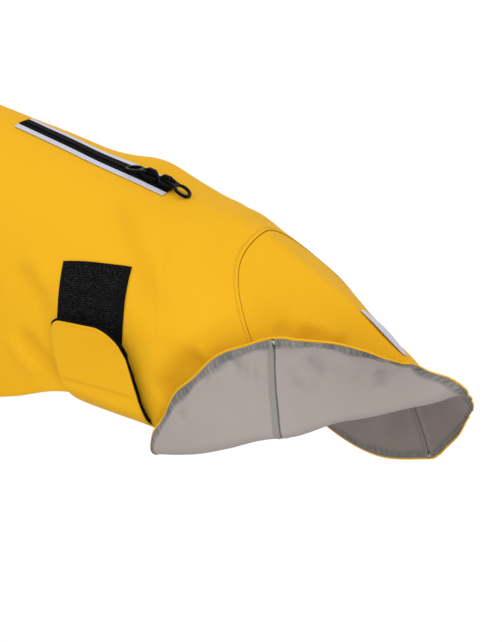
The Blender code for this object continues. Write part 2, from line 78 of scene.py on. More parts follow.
# Lengths in the tables are millimetres; x runs to the tail, z up, the near side is -y.
# Each cross section runs from the spine over the crown to the hem; the crown handle sits
# lead behind the spine point, the hem handle sits sideRise above the hem.
coat = dict(
    lift=1.45,               # height of the tables' zero above the frame's
    shellDepth=0.7,          # shell cloth with its coating
    liningDepth=1.25,        # outer face of the shell to the lining's upper face
    liningWall=0.4,
    liningInset=0.9,         # the shell edge shows this far beyond the lining
    seamHalfGap=0.05,
    seamStation=9.0,
    sections=[
        # spineX spineZ lead crownY crownDrop hemX hemY hemZ rake tuck sideRise
        (-125, 33, -4, 48, 2, -116, 62, -164, -6, 20, 92),      # neck
        (-80, 21, 0, 58, 2, -76, 76, -159, 0, 14, 95),          # withers
        (-36, 10, 0, 62, 3, -30, 84, -147, 0, 8, 90),           # shoulder
        (8, -2.5, 0, 64, 4, 10, 86, -134, 0, 6, 85),            # girth
        (46, -12, -2, 64, 6, 50, 85, -132, 0, 4, 88),           # flank
        (70, -17, -3, 63, 7, 81, 84, -140, 0, 4, 89),           # the hem starts to turn
        (82, -19, -6, 64, 9, 93, 84, -173, -3, 5, 112),
        (94, -21, -10, 64, 11, 123, 83, -198, -11, 5, 128),
        (106, -25, -13, 63, 14, 165, 81, -211.5, -18, 4, 126),  # lowest point of the lobe
        (118, -28, -16, 61, 18, 205, 78, -204, -20, 2, 105),    # rump seam
        (148, -44, -13, 52, 22, 215.5, 75, -198, -16, 2, 85),   # hip
        (180, -63, -10, 41, 22, 224, 71, -188, -10, 1, 62),     # rump
        (214, -90, -8, 30, 18, 231.5, 66, -179, -4, 2, 42),
        (244, -109, -6, 23, 14, 237, 61, -171.5, 3, 4, 28),     # tail
        (268, -116, -2, 20, 8, 243, 56, -161, 6, 5, 18),        # rear hem
    ],
    # below the line (x, z) the near cloth rolls outward: `roll` of cloth turns by `turn` degrees
    foldLine=[(20, -171.0, 12, 186), (82, -159.0, 12, 186), (110, -151.6, 16, 186),
              (140, -142.8, 20, 186), (182, -128.6, 15, 184), (225, -119.2, 12, 151),
              (245, -117.0, 10, 138), (268, -114.8, 8, 126)],
    cornerNear=14.0, cornerFar=7.0,     # rounding of the rear hem's corners
    # the rump seam's shift in stations, by the share of each half from the spine
    seamBend={-1: [(0, 0.08), (0.08, 0.04), (0.17, -0.03), (0.30, -0.07), (0.60, -0.09), (0.72, -0.15),
                   (0.82, -0.11), (0.90, -0.03), (0.96, 0.07), (1.0, 0.11)],
              1: [(0, 0.08), (0.5, 0.0), (0.8, 0.04), (0.9, 0.12), (1.0, 0.2)]},
    seamBendReach=0.9,
    spineRound=8.0,                     # the back's ridge is rounded over this far
)
sections = np.array(coat["sections"], float)
foldLine = np.array(coat["foldLine"], float)


def alongRows(table, place):
    place = min(max(place, 0.0), len(table) - 1.0)
    i = min(int(place), len(table) - 2)
    f = place - i
    b, c = table[i], table[i + 1]
    a = table[i - 1] if i > 0 else 2 * b - c
    d = table[i + 2] if i + 2 < len(table) else 2 * c - b
    return 0.5 * (2 * b + (c - a) * f + (2 * a - 5 * b + 4 * c - d) * f * f
                  + (3 * b - a - 3 * c + d) * f ** 3)


def lineThrough(xs, ys, x):
    # a curve through the points that never overshoots, and its slope
    step = np.diff(xs)
    rise = np.diff(ys) / step
    slope = np.empty(len(xs))
    slope[0], slope[-1] = rise[0], rise[-1]
    for k in range(1, len(xs) - 1):
        if rise[k - 1] * rise[k] <= 0:
            slope[k] = 0.0
        else:
            wa, wb = 2 * step[k] + step[k - 1], step[k] + 2 * step[k - 1]
            slope[k] = (wa + wb) / (wa / rise[k - 1] + wb / rise[k])
    x = np.clip(x, xs[0], xs[-1])
    k = np.clip(np.searchsorted(xs, x) - 1, 0, len(xs) - 2)
    h, t = step[k], (x - xs[k]) / step[k]
    value = ((1 + 2 * t) * (1 - t) ** 2 * ys[k] + t * (1 - t) ** 2 * h * slope[k]
             + t * t * (3 - 2 * t) * ys[k + 1] + t * t * (t - 1) * h * slope[k + 1])
    grade = (6 * t * (t - 1) * (ys[k] - ys[k + 1]) / h
             + (1 - t) * (1 - 3 * t) * slope[k] + t * (3 * t - 2) * slope[k + 1])
    return value, grade


def runOf(points):
    return np.concatenate([[0.0], np.cumsum(np.linalg.norm(np.diff(points, axis=0), axis=1))])


def runsOf(grid):
    # distance of every point from the first row, along its column
    return np.concatenate([np.zeros((1, grid.shape[1])),
                           np.cumsum(np.linalg.norm(np.diff(grid, axis=0), axis=2), axis=0)])


def atRun(points, wanted, run=None):
    run = runOf(points) if run is None else run
    return np.stack([np.interp(wanted, run, points[:, k]) for k in range(points.shape[1])], axis=1)


def noiseOver(points, pitch, shift=(0, 0, 0)):
    flat = [noise.noise(Vector(p) * pitch + Vector(shift)) for p in points.reshape(-1, 3)]
    return np.array(flat).reshape(points.shape[:-1])


def noiseAlong(run, pitch, seed, shift):
    return np.array([noise.noise(Vector((r * pitch, seed, shift))) for r in run])


def fromEdge(grid, edge):
    # the grid turned so that the named edge is its first row
    grid = grid.transpose(1, 0, 2) if edge in ("near", "far") else grid
    return grid[::-1] if edge in ("last", "far") else grid


def awayFrom(points, edge):
    # distance of every point from one edge, measured along the grid
    away = runsOf(fromEdge(points, edge))
    away = away[::-1] if edge in ("last", "far") else away
    return away.T if edge in ("near", "far") else away


def paired(found):
    # two grids, points and normals, from rows that hold both at each place
    return np.moveaxis(np.array(found), -2, 0)


def easeStep(t):
    t = np.clip(t, 0, 1)
    return t * t * (3 - 2 * t)


def bump(t):
    return np.exp(-t * t)


def section(station, side, count=361):
    (spineX, spineZ, lead, crownY, crownDrop,
     hemX, hemY, hemZ, rake, tuck, sideRise) = alongRows(sections, station)
    t = np.linspace(0, 1, 200)[:, None]
    spine = np.array([spineX, 0, spineZ])
    crown = np.array([spineX + lead, side * crownY, spineZ - crownDrop])
    flank = np.array([hemX + rake, side * (hemY + tuck), hemZ + sideRise])
    hem = np.array([hemX, side * hemY, hemZ])
    curve = ((1 - t) ** 3 * spine + 3 * (1 - t) ** 2 * t * crown
             + 3 * (1 - t) * t * t * flank + t ** 3 * hem)
    return atRun(curve, np.linspace(0, runOf(curve)[-1], count))


def belowFold(points):
    height, grade = lineThrough(foldLine[:, 0], foldLine[:, 1], points[:, 0])
    return (height - points[:, 2]) / np.sqrt(1 + grade ** 2)


def cornerCut(station, side):
    # how much the rear hem's rounded corner takes off the end of a row
    corner = coat["cornerNear"] if side < 0 else coat["cornerFar"]
    gap = float(np.linalg.norm(alongRows(sections, station)[5:8] - sections[-1][5:8]))
    return corner - math.sqrt(max(corner ** 2 - max(corner - gap, 0.0) ** 2, 0.0))


def foldPath():
    points = []
    for station in np.linspace(4.6, len(sections) - 1.0, 90):
        flat = section(station, -1, 241)
        depth = belowFold(flat)
        if depth[-1] > 0:
            j = int(np.argmax(depth > 0))
            f = -depth[j - 1] / (depth[j] - depth[j - 1]) if j else 0.0
            points.append(flat[j - 1] + (flat[j] - flat[j - 1]) * f if j else flat[0])
    points = np.array(points)
    direction = np.gradient(points, axis=0)
    for _ in range(6):
        direction[1:-1] = (direction[:-2] + 2 * direction[1:-1] + direction[2:]) / 4
    return points, direction / np.linalg.norm(direction, axis=1)[:, None]


foldPoints, foldDirections = foldPath()


def nearRow(station, columns, foldExtra, hemExtra, hemBand=9.0):
    # the near half of a section with its hem rolled up, spine to hem; 1 in the last column is turned cloth
    flat = section(station, -1, 481)
    steps, middle = np.diff(flat, axis=0), 0.5 * (flat[1:] + flat[:-1])
    roll = lineThrough(foldLine[:, 0], foldLine[:, 2], middle[:, 0])[0]
    turn = np.radians(lineThrough(foldLine[:, 0], foldLine[:, 3], middle[:, 0])[0])
    below = belowFold(middle) / roll
    share = np.clip(below, 0, 1)
    nearest = ((foldPoints[None] - middle[:, None]) ** 2).sum(axis=2).argmin(axis=1)
    axes, angles = foldDirections[nearest], -turn * share
    c, s = np.cos(angles)[:, None], np.sin(angles)[:, None]
    steps = steps * c + np.cross(axes, steps) * s + axes * (axes * steps).sum(axis=1)[:, None] * (1 - c)
    points = np.concatenate([flat[:1], flat[:1] + np.cumsum(steps, axis=0)])
    run = runOf(points)
    crowded = easeStep((below + 0.5) / 2.0)
    ramp = np.concatenate([[0.0], np.cumsum(np.abs(np.diff(crowded, prepend=crowded[0])))])
    stop = run[-1] - cornerCut(station, -1)
    ramp = np.minimum(ramp, np.interp(stop, run, ramp))
    extra = foldExtra * min(1.0, ramp[-1])
    count = ((columns - 1 - extra - hemExtra) * run / stop + extra * ramp / max(ramp[-1], 1e-9)
             + hemExtra * np.clip((run - stop + hemBand) / hemBand, 0, 1))
    place = np.interp(np.arange(columns), count, run)
    turned = np.interp(place, run, np.concatenate([[0.0], share]))
    return np.column_stack([atRun(points, place, run), turned])


def farRow(station, columns, hemExtra, hemBand=9.0):
    points = section(station, 1, 361)
    run = runOf(points)
    stop = run[-1] - cornerCut(station, 1)
    count = ((columns - 1 - hemExtra) * run / stop
             + hemExtra * np.clip((run - stop + hemBand) / hemBand, 0, 1))
    place = np.interp(np.arange(columns), count, run)
    return np.column_stack([atRun(points, place, run), np.zeros(columns)])


def outward(grid):
    n = np.cross(np.gradient(grid, axis=0), np.gradient(grid, axis=1))
    n /= np.maximum(np.linalg.norm(n, axis=2), 1e-12)[:, :, None]
    n[1:-1] = (n[:-2] + 2 * n[1:-1] + n[2:]) / 4
    return n / np.linalg.norm(n, axis=2)[:, :, None]


# Small moves, listed one by one: where, how wide, and how far the cloth is pushed.
# Each acts on the turned cloth (flap), on the rest (body) or on both.
nudges = [
    # the fold of the turned cloth, lifted
    ((104, -90, -156), 18, (0, 0, 1.5), "both"), ((134, -88, -147), 20, (0, 0, 2.6), "both"),
    ((160, -85, -139), 22, (0, 0, 3.6), "both"), ((206, -63, -126), 16, (0, 0, 3.0), "both"),
    # its hem: lower over the lobe, higher behind the seam, lower again at the tail
    ((88, -92, -150), 9, (0, 0, 3.5), "both"), ((94, -91, -131), 10, (2.0, 0, 0.5), "flap"),
    ((104, -90, -110), 10, (-1.0, 0, 2.5), "flap"),
    ((121, -85, -86), 16, (0, 0, -3.2), "flap"), ((150, -82, -69), 20, (0, 0, -4.5), "flap"),
    ((182, -78, -61), 14, (0, 0, -3.0), "flap"), ((214, -68, -70), 20, (0, 0, 3.9), "flap"),
    # the rear hem: pulled in and rounded
    ((231, -56, -76), 8, (0, 0, 1.3), "flap"), ((238, -41, -83), 9, (0, 0, -3.0), "both"),
    ((248, -23, -93), 9, (0, 0, -1.5), "both"), ((258, -16, -103), 7, (0, 0, 1.0), "both"),
    ((265, -12, -112), 12, (1.0, 0, 5.6), "both"),
    ((269, -5, -113), 9, (1.4, 0, 1.0), "both"),
    ((268, 10, -119), 13, (-2.5, 0, 1.5), "both"), ((258, 32, -133), 14, (-2.5, 0, 0), "both"),
    # the far side of the back behind the zip stands higher
    ((18, 38, -14), 26, (0, 0, 8.5), "body"), ((48, 30, -20), 18, (0, 0, 2.5), "body"),
    ((98, 42, -38), 30, (0, 0, 3.4), "body"), ((146, 36, -64), 15, (0, 0, 3.0), "body"),
    ((192, 48, -104), 14, (0, 0, -2.0), "body"),
]


def nudged(points, turned):
    moved = points.copy()
    for centre, width, push, layer in nudges:
        near = bump(np.linalg.norm(points - np.array(centre), axis=1) / width)
        if layer == "flap":
            near = near * easeStep(turned / 0.7)
        elif layer == "body":
            near = near * (1 - easeStep(turned / 0.7))
        moved += near[:, None] * np.array(push, float)
    return moved


# Creases, listed one by one: a path over the cloth, how wide and how high, and which layer it is on.
creases = dict(
    body=[
        # path, width, height
        ([(25, -23, -8), (48, -47, -22), (67, -64, -38), (77, -74, -57), (82, -80, -78)], 9, -1.1),
        ([(33, -26, -9), (58, -50, -25), (78, -66, -42), (88, -76, -60)], 8, 0.7),
        ([(-31, -76, -52), (-19, -78, -57), (-6, -82, -69), (7, -85, -85)], 7, -0.9),
        ([(-27, -72, -44), (-10, -77, -52), (4, -82, -66)], 8, 0.6),
        ([(-24, -85, -93), (-7, -86, -107), (8, -86, -119), (20, -86, -129)], 6, -1.2),
        ([(-34, -84, -100), (-18, -86, -114), (-4, -87, -128)], 7, 0.7),
        ([(90, -84, -124), (102, -81, -104), (118, -74, -88)], 10, -1.8),
        ([(92, -81, -89), (101, -77, -82), (117, -66, -70), (131, -53, -60)], 9, 0.9),
        ([(159, -37, -69), (170, -31, -74), (181, -25, -78), (192, -24, -86)], 8, 1.5),
        ([(150, -47, -72), (165, -42, -80), (178, -36, -88)], 7, -0.7),
        ([(-90, 40, 6), (-60, 58, -20), (-40, 72, -60)], 12, -0.9),
        ([(10, 50, -14), (40, 68, -40), (70, 80, -80)], 12, -1.0),
        ([(60, 74, -70), (90, 82, -110), (130, 84, -150)], 10, -1.3),
        ([(120, 60, -60), (150, 66, -100), (180, 72, -150)], 10, 1.1),
        ([(187, 76, -166), (178, 78, -179), (168, 78, -191)], 6, 0.6),
        ([(170, 78, -165), (160, 80, -180), (155, 80, -192)], 7, -0.6),
        ([(-100, -52, -50), (-85, -66, -90), (-70, -78, -130)], 10, -1.0),
        ([(-60, -60, -20), (-75, -68, -60), (-80, -76, -110)], 12, 0.8),
    ],
    flap=[
        ([(142, -87, -81), (150, -86, -86), (161, -85, -92), (171, -84, -97)], 1.7, 0.55),
        ([(139, -88, -81), (137, -88, -87), (135, -89, -93), (131, -91, -101)], 5, -0.9),
        ([(146, -87, -78), (150, -87, -84), (153, -87, -92)], 4, 0.6),
        ([(184, -80, -92), (187, -79, -96), (190, -77, -99)], 1.5, 0.6),
        ([(181, -83, -75), (184, -81, -80), (189, -78, -88), (198, -73, -98)], 6, -1.2),
        ([(190, -79, -77), (195, -76, -84), (203, -71, -92)], 5, 0.8),
        ([(111, -95, -121), (114, -95, -128), (116, -96, -134)], 4, 0.6),
        ([(96, -96, -145), (126, -95, -129), (153, -90, -121)], 8, -0.9),
        ([(205, -70, -76), (212, -64, -84), (219, -57, -92)], 5, -0.7),
        ([(226, -48, -86), (229, -45, -94), (230, -44, -102)], 4, 0.7),
    ],
)
creaseDepth = dict(body=3.0, flap=1.9)
creaseShade = dict(body=0.05, flap=0.22)      # painted shade in a valley, for each mm of its depth
clothSlack = dict(height=0.55, broad=0.021, fine=0.047, fineShare=0.45, fineShift=(7, 3, 1))


def distanceTo(points, path):
    # distance to a path, and the share of the path where it is nearest
    path = np.array(path, float)
    run = runOf(path)
    best, where = np.full(len(points), 1e9), np.zeros(len(points))
    for a, b, start in zip(path[:-1], path[1:], run[:-1]):
        d = b - a
        t = np.clip(((points - a) @ d) / (d @ d), 0, 1)
        off = np.linalg.norm(points - a - t[:, None] * d, axis=1)
        nearer = off < best
        best[nearer], where[nearer] = off[nearer], (start + t * math.sqrt(d @ d))[nearer] / run[-1]
    return best, where


def ontoCloth(spot, points, reach=8.0):
    # the cloth's own point nearest to a spot, if it is near at all
    off = np.linalg.norm(points - np.array(spot, float), axis=1)
    return points[int(off.argmin())] if len(off) and off.min() < reach else np.array(spot, float)


def relief(points, turned):
    # how far the creases and the cloth's slackness each lift every point, in mm
    lift = np.zeros(len(points))
    for layer, rows in creases.items():
        onLayer = turned > 0.6 if layer == "flap" else turned < 0.4
        picked = points[onLayer]
        for path, width, height in rows:
            off, where = distanceTo(picked, path)
            fade = easeStep(where / 0.25) * easeStep((1 - where) / 0.25)
            lift[onLayer] += height * creaseDepth[layer] * bump(off / width) * fade
    slack = noiseOver(points, clothSlack["broad"])
    slack = slack + clothSlack["fineShare"] * noiseOver(points, clothSlack["fine"], clothSlack["fineShift"])
    return lift, clothSlack["height"] * slack


class ClothGrid:
    # the coat's outer face as rows of points, near hem over the spine to the far hem
    def __init__(self, stations, nearColumns, farColumns, foldExtra, hemExtra):
        self.stations = np.array(stations)
        self.nearColumns = nearColumns
        spare = np.arange(0.04, 0.36, 0.04)
        wide = self.stations
        if wide[0] > 0:
            wide = np.concatenate([wide[0] - spare[::-1], wide])
        if wide[-1] < len(sections) - 1:
            wide = np.concatenate([wide, wide[-1] + spare])
        rows = []
        for u in wide:
            near = nearRow(u, nearColumns, foldExtra, hemExtra)
            far = farRow(u, farColumns, hemExtra)
            rows.append(np.concatenate([near[::-1], far[1:]]))
        rows = self.bendSeam(np.array(rows), wide)
        self.turned = rows[:, :, 3]
        plain = rows[:, :, :3] + np.array([0, 0, coat["lift"]])
        plain = plain - outward(plain) * (coat["liningDepth"] * easeStep(self.turned))[:, :, None]
        self.creased, slack = (part.reshape(self.turned.shape)
                               for part in relief(plain.reshape(-1, 3), self.turned.reshape(-1)))
        flat = nudged(rows[:, :, :3].reshape(-1, 3), self.turned.reshape(-1)).reshape(rows[:, :, :3].shape)
        flat = self.roundSpine(flat) + np.array([0, 0, coat["lift"]])
        normal = outward(flat)
        self.points = flat + normal * (self.creased + slack)[:, :, None]
        self.normals = outward(self.points)

    def roundSpine(self, flat):
        # the two halves meet in a soft ridge
        middle = self.nearColumns - 1
        away = np.concatenate([-runOf(flat[0, :middle + 1][::-1])[::-1], runOf(flat[0, middle:])[1:]])
        reach = coat["spineRound"]
        picked = np.where(np.abs(away) < 2.5 * reach)[0]
        share = np.exp(-((away[picked, None] - away[None, :]) / reach) ** 2)
        spread = np.gradient(away)
        share = share * spread / (share * spread).sum(axis=1)[:, None]
        soft = np.einsum("pc,rcx->rpx", share, flat)
        blend = bump(away[picked] / (1.6 * reach))[None, :, None]
        flat = flat.copy()
        flat[:, picked] += (soft - flat[:, picked]) * blend
        return flat

    def bendSeam(self, rows, wide):
        # moves each column's rows along the cloth, so that the rump seam runs where it should
        seamRow = rows[int(np.argmin(np.abs(wide - coat["seamStation"])))]
        near, far = runOf(seamRow[:self.nearColumns, :3][::-1]), runOf(seamRow[self.nearColumns - 1:, :3])
        shift = []
        for side, run in ((-1, near), (1, far)):
            table = np.array(coat["seamBend"][side])
            shift.append(lineThrough(table[:, 0], table[:, 1], run / run[-1])[0])
        shift = np.concatenate([shift[0][::-1], shift[1][1:]])
        moved = self.stations[:, None] + shift * bump((self.stations - coat["seamStation"])
                                                      / coat["seamBendReach"])[:, None]
        place = np.interp(moved, wide, np.arange(len(wide)))
        first = np.minimum(place.astype(int), len(wide) - 2)
        part, column = (place - first)[:, :, None], np.arange(rows.shape[1])[None]
        return rows[first, column] * (1 - part) + rows[first + 1, column] * part

    def half(self, side):
        cut = self.nearColumns
        pick = (lambda a: a[:, :cut][:, ::-1]) if side < 0 else (lambda a: a[:, cut - 1:])
        return pick(self.points), pick(self.normals)

    def at(self, station, side, distance):
        # point and normal at a distance from the spine along a section
        points, normals = self.half(side)
        place = float(np.interp(station, self.stations, np.arange(len(self.stations))))
        i = min(int(place), len(self.stations) - 2)
        f = place - i
        found = []
        for row in (i, i + 1):
            run = runOf(points[row])
            found.append((atRun(points[row], [distance], run)[0], atRun(normals[row], [distance], run)[0]))
        p = found[0][0] * (1 - f) + found[1][0] * f
        n = found[0][1] * (1 - f) + found[1][1] * f
        return p, n / np.linalg.norm(n)


def clothUv(points):
    # size of the cloth along its rows and columns, in metres
    u, v = runsOf(points), runsOf(points.transpose(1, 0, 2)).T
    return np.stack([u.mean(axis=1)[:, None] + u * 0, v - v[:, v.shape[1] // 2][:, None]], axis=2) * mm


def cutSize(points):
    # width, length and area of the flat cloth, in metres
    rows = np.linalg.norm(np.diff(points, axis=1), axis=2).sum(axis=1)
    columns = np.linalg.norm(np.diff(points, axis=0), axis=2).sum(axis=0)
    a, b = points[1:, 1:] - points[:-1, :-1], points[1:, :-1] - points[:-1, 1:]
    area = 0.5 * np.linalg.norm(np.cross(a, b), axis=2).sum()
    return float(rows.max() * mm), float(columns.max() * mm), float(area * mm * mm)


def gridMesh(points, uv=None, flip=False, shade=None):
    # a bmesh grid laid over rows of points; shade is a number kept at each point for the finish, which paints
    # shade or highlight into it
    rows, columns = points.shape[:2]
    work = bmesh.new()
    bmesh.ops.create_grid(work, x_segments=columns - 1, y_segments=rows - 1, size=1.0)
    work.verts.ensure_lookup_table()
    spots = [(round((v.co.y + 1) / 2 * (rows - 1)), round((v.co.x + 1) / 2 * (columns - 1)))
             for v in work.verts]
    tone = work.verts.layers.float.new("shade") if shade is not None else None
    for v, (i, j) in zip(work.verts, spots):
        v.co = Vector(points[i, j] * mm)
        if tone:
            v[tone] = shade[i, j]
    if uv is not None:
        layer = work.loops.layers.uv.new("cloth")
        for face in work.faces:
            for loop in face.loops:
                loop[layer].uv = uv[spots[loop.vert.index]]
    if flip:
        bmesh.ops.reverse_faces(work, faces=work.faces)
    return work


def meshFrom(work, name):
    mesh = bpy.data.meshes.new(name)
    work.to_mesh(mesh)
    work.free()
    return mesh


def pourInto(work, part):
    mesh = meshFrom(part, "part")
    work.from_mesh(mesh)
    bpy.data.meshes.remove(mesh)


def pieceFrom(work, name, finish, body="coat"):
    mesh = meshFrom(work, name)
    mesh.shade_smooth()
    mesh.materials.append(finish)
    piece = bpy.data.objects.new(name, mesh)
    bpy.context.scene.collection.objects.link(piece)
    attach(piece, body)
    return piece


def clothPiece(name, node, face, normals, wall, finish, shade=None, rounded=0.0):
    # a sheet with the given face, its wall behind it, in place of its node
    across = np.cross(face[0, 1] - face[0, 0], face[1, 0] - face[0, 0])
    turnedAway = not float(across @ normals[0, 0]) > 0
    piece = pieceFrom(gridMesh(face, clothUv(face), turnedAway, shade), name, finish)
    solid = piece.modifiers.new("wall", "SOLIDIFY")
    solid.thickness, solid.offset, solid.use_rim = wall * mm, -1.0, True
    if rounded:
        edge = piece.modifiers.new("edge", "BEVEL")
        edge.width, edge.segments, edge.limit_method = rounded * mm, 2, "ANGLE"
        edge.angle_limit = math.radians(50)
    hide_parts(node)
    print(name, "cut", [round(x, 3) for x in cutSize(face)])


def layFlat(name, node, points, normals, low, wall, finish, slot, rounded=0.15):
    # a sheet lying `low` above the points, `wall` thick
    clothPiece(name, node, points + normals * (low + wall), normals, wall, finish, None, rounded)


def sweepTube(work, path, radius, sides, up, flatten):
    # a bead along a path, flattened along the `up` normals
    path = np.array(path, float)
    tangent = np.gradient(path, axis=0)
    tangent /= np.maximum(np.linalg.norm(tangent, axis=1), 1e-9)[:, None]
    across = np.cross(tangent, up)
    across /= np.maximum(np.linalg.norm(across, axis=1), 1e-9)[:, None]
    up = np.cross(across, tangent)
    angles = np.linspace(0, 2 * math.pi, sides + 1)
    ring = (across[:, None] * np.cos(angles)[None, :, None]
            + up[:, None] * np.sin(angles)[None, :, None] * flatten)
    tube = gridMesh(path[:, None] + ring * radius)
    bmesh.ops.remove_doubles(tube, verts=tube.verts, dist=1e-7)
    bmesh.ops.holes_fill(tube, edges=[e for e in tube.edges if e.is_boundary], sides=sides + 1)
    bmesh.ops.recalc_face_normals(tube, faces=tube.faces)
    pourInto(work, tube)


def layBead(work, centre, axes, subdivisions=2):
    # a ball stretched along three axes
    place = Matrix([axis * mm for axis in axes]).transposed().to_4x4()
    place = Matrix.Translation(Vector(centre) * mm) @ place
    bmesh.ops.create_icosphere(work, subdivisions=subdivisions, radius=1.0, matrix=place)


def laySeamStitches(work, path, normals, stitch):
    # thread stitches along a path: short pressed beads with a gap between them
    run = runOf(path)
    pitch = stitch["long"] + stitch["gap"]
    count = max(1, int(run[-1] / pitch))
    centres = (np.arange(count) + 0.5) * run[-1] / count
    half = stitch["long"] / 2
    a, b = (atRun(path, centres + d, run) for d in (-half, half))
    n = atRun(normals, centres, run)
    for k in range(count):
        along = Vector(b[k] - a[k]).normalized()
        up = Vector(n[k]).normalized()
        side = up.cross(along).normalized()
        up = along.cross(side)
        axes = along * half, side * stitch["thick"] / 2, up * stitch["thick"] * 0.4
        layBead(work, (a[k] + b[k]) / 2 + n[k] * stitch["proud"], axes, 1)


def offsetLine(points, normals, edge, distance):
    # the line at a distance from one edge of a grid; edge is "first", "last" row or "near", "far" column
    points, normals = fromEdge(points, edge), fromEdge(normals, edge)
    lines = zip(points.transpose(1, 0, 2), normals.transpose(1, 0, 2))
    return paired([(atRun(p, [distance])[0], atRun(n, [distance], runOf(p))[0]) for p, n in lines])


class Value:
    # a socket in a material, for writing shader maths as Python
    def __init__(self, bench, socket):
        self.bench, self.socket = bench, socket


def mathsMethod(operation):
    return lambda self, *others: self.bench.node("ShaderNodeMath", dict(operation=operation), self, *others)


for method, operation in dict(__add__="ADD", __radd__="ADD", __sub__="SUBTRACT", __mul__="MULTIPLY",
                              __rmul__="MULTIPLY", sine="SINE", size="ABSOLUTE", capped="MINIMUM",
                              floored="MAXIMUM").items():
    setattr(Value, method, mathsMethod(operation))


class Finish:
    # one material: its nodes come from node(), which gives an output or, at the end, the material
    def __init__(self, name):
        self.material = bpy.data.materials.new(name)
        self.material.use_nodes = True
        self.tree = self.material.node_tree
        self.tree.nodes.clear()

    def node(self, kind, settings=None, *inputs, output=0, **named):
        made = self.tree.nodes.new(kind)
        for key, value in (settings or {}).items():
            setattr(made, key, value)
        named = {key.replace("_", " "): value for key, value in named.items()}
        for key, value in [*enumerate(inputs), *named.items()]:
            if isinstance(value, Value):
                self.tree.links.new(value.socket, made.inputs[key])
            elif value is not None:
                socket = made.inputs[key]
                socket.default_value = (*value, 1) if socket.type == "RGBA" else value
        return Value(self, made.outputs[output]) if made.outputs else self.material

    def clothPlace(self):
        return self.node("ShaderNodeUVMap", dict(uv_map="cloth"))

    def attribute(self, name):
        return self.node("ShaderNodeAttribute", dict(attribute_name=name), output=2)

    def objectPlace(self):
        return self.node("ShaderNodeTexCoord", None, output=3)

    def parts(self, vector):
        return [self.node("ShaderNodeSeparateXYZ", None, vector, output=axis) for axis in range(3)]

    def blend(self, share, first, second):
        # the mix node's own inputs 0, 6 and 7
        return self.node("ShaderNodeMix", dict(data_type="RGBA"), share, *[None] * 5, first, second, output=2)

    def grain(self, place, scale, detail=2.0, rough=0.5):
        return self.node("ShaderNodeTexNoise", None, Vector=place, Scale=scale, Detail=detail,
                         Roughness=rough)

    def surface(self, height, step, strength, **sockets):
        raised = self.node("ShaderNodeBump", None, Strength=strength, Distance=step, Height=height)
        shader = self.node("ShaderNodeBsdfPrincipled", None, Normal=raised, **sockets)
        return self.node("ShaderNodeOutputMaterial", None, shader)


# the dark brown one is painted shade, blended in through the shade attribute in seams, stitch grooves and
# crease valleys
coatedCloth = dict(yellow=(0.728, 0.384, 0.0135), deep=(0.664, 0.330, 0.0100), pale=(0.752, 0.412, 0.0175),
                   fold=(0.330, 0.130, 0.003), weavePitch=0.00042, roughness=0.56)
# shaded is painted shade for the hem gathers, beside the seam and in crease valleys; the near-black seam
# colour is a painted shadow line in the seam; the brown far colour paints shade over the far half
liningCloth = dict(light=(0.355, 0.310, 0.287), dark=(0.300, 0.266, 0.250), shaded=(0.150, 0.152, 0.143),
                   seam=(0.020, 0.020, 0.019), farShade=(0.155, 0.118, 0.103), farShadeShare=0.62,
                   weavePitch=0.00036, roughness=0.55)
turn = 2 * math.pi


def makeCoated():
    f = Finish("yellowCoated")
    place, spot = f.clothPlace(), f.objectPlace()
    u, v, _ = f.parts(place)
    pitch = turn / coatedCloth["weavePitch"]
    weave = (u * pitch).sine() * (v * pitch).sine()
    broad = f.grain(spot, 14.0, 3.0)
    pebble = f.grain(spot, 900.0, 2.0)
    crush = f.grain(spot, 75.0, 4.0, 0.6)
    colour = f.blend(broad, coatedCloth["deep"], coatedCloth["pale"])
    colour = f.blend(0.62, colour, coatedCloth["yellow"])
    colour = f.blend((crush - 0.5).size() * 0.35, colour, coatedCloth["deep"])
    # painted shade: darker brown where the shade attribute marks seams, stitch grooves, crease valleys and
    # strap stitch lines
    colour = f.blend(f.attribute("shade").capped(1.0), colour, coatedCloth["fold"])
    roughness = coatedCloth["roughness"] + (pebble - 0.5) * 0.12 + (broad - 0.5) * 0.10
    return f.surface(height=weave * 0.22 + pebble * 0.55 + crush * 1.6, step=0.00022, strength=0.35,
                     Base_Color=colour, Roughness=roughness, Specular_IOR_Level=0.02)


def makeLining():
    f = Finish("greyLining")
    place, spot = f.clothPlace(), f.objectPlace()
    u, v, _ = f.parts(place)
    pitch = turn / liningCloth["weavePitch"]
    weave = (u * pitch).sine() * (v * pitch).sine()
    broad = f.grain(spot, 11.0, 3.0)
    thread = f.grain(f.node("ShaderNodeMapping", None, Vector=place, Scale=(90.0, 2600.0, 1.0)), 1.0, 2.0)
    crush = f.grain(spot, 60.0, 4.0, 0.6)
    colour = f.blend(broad, liningCloth["dark"], liningCloth["light"])
    colour = f.blend(0.55, colour, liningCloth["light"])
    colour = f.blend(thread * 0.22, colour, liningCloth["dark"])
    # painted shade: the lining past y = -10 mm, on the far side, turns darker and browner
    far = ((f.parts(spot)[1] + 0.010) * 33.0).floored(0.0).capped(1.0)
    colour = f.blend(far * liningCloth["farShadeShare"], colour, liningCloth["farShade"])
    # painted shade from the shade attribute: up to 1 towards the shaded grey, past 1 towards a near-black
    # seam shadow
    shade = f.attribute("shade")
    colour = f.blend(shade.capped(1.0), colour, liningCloth["shaded"])
    colour = f.blend((shade - 1.0).floored(0.0).capped(1.0), colour, liningCloth["seam"])
    return f.surface(height=weave * 0.5 + thread * 0.6 + crush * 2.2, step=0.0002, strength=0.4,
                     Base_Color=colour, Roughness=liningCloth["roughness"] + (thread - 0.5) * 0.14,
                     Specular_IOR_Level=0.12)


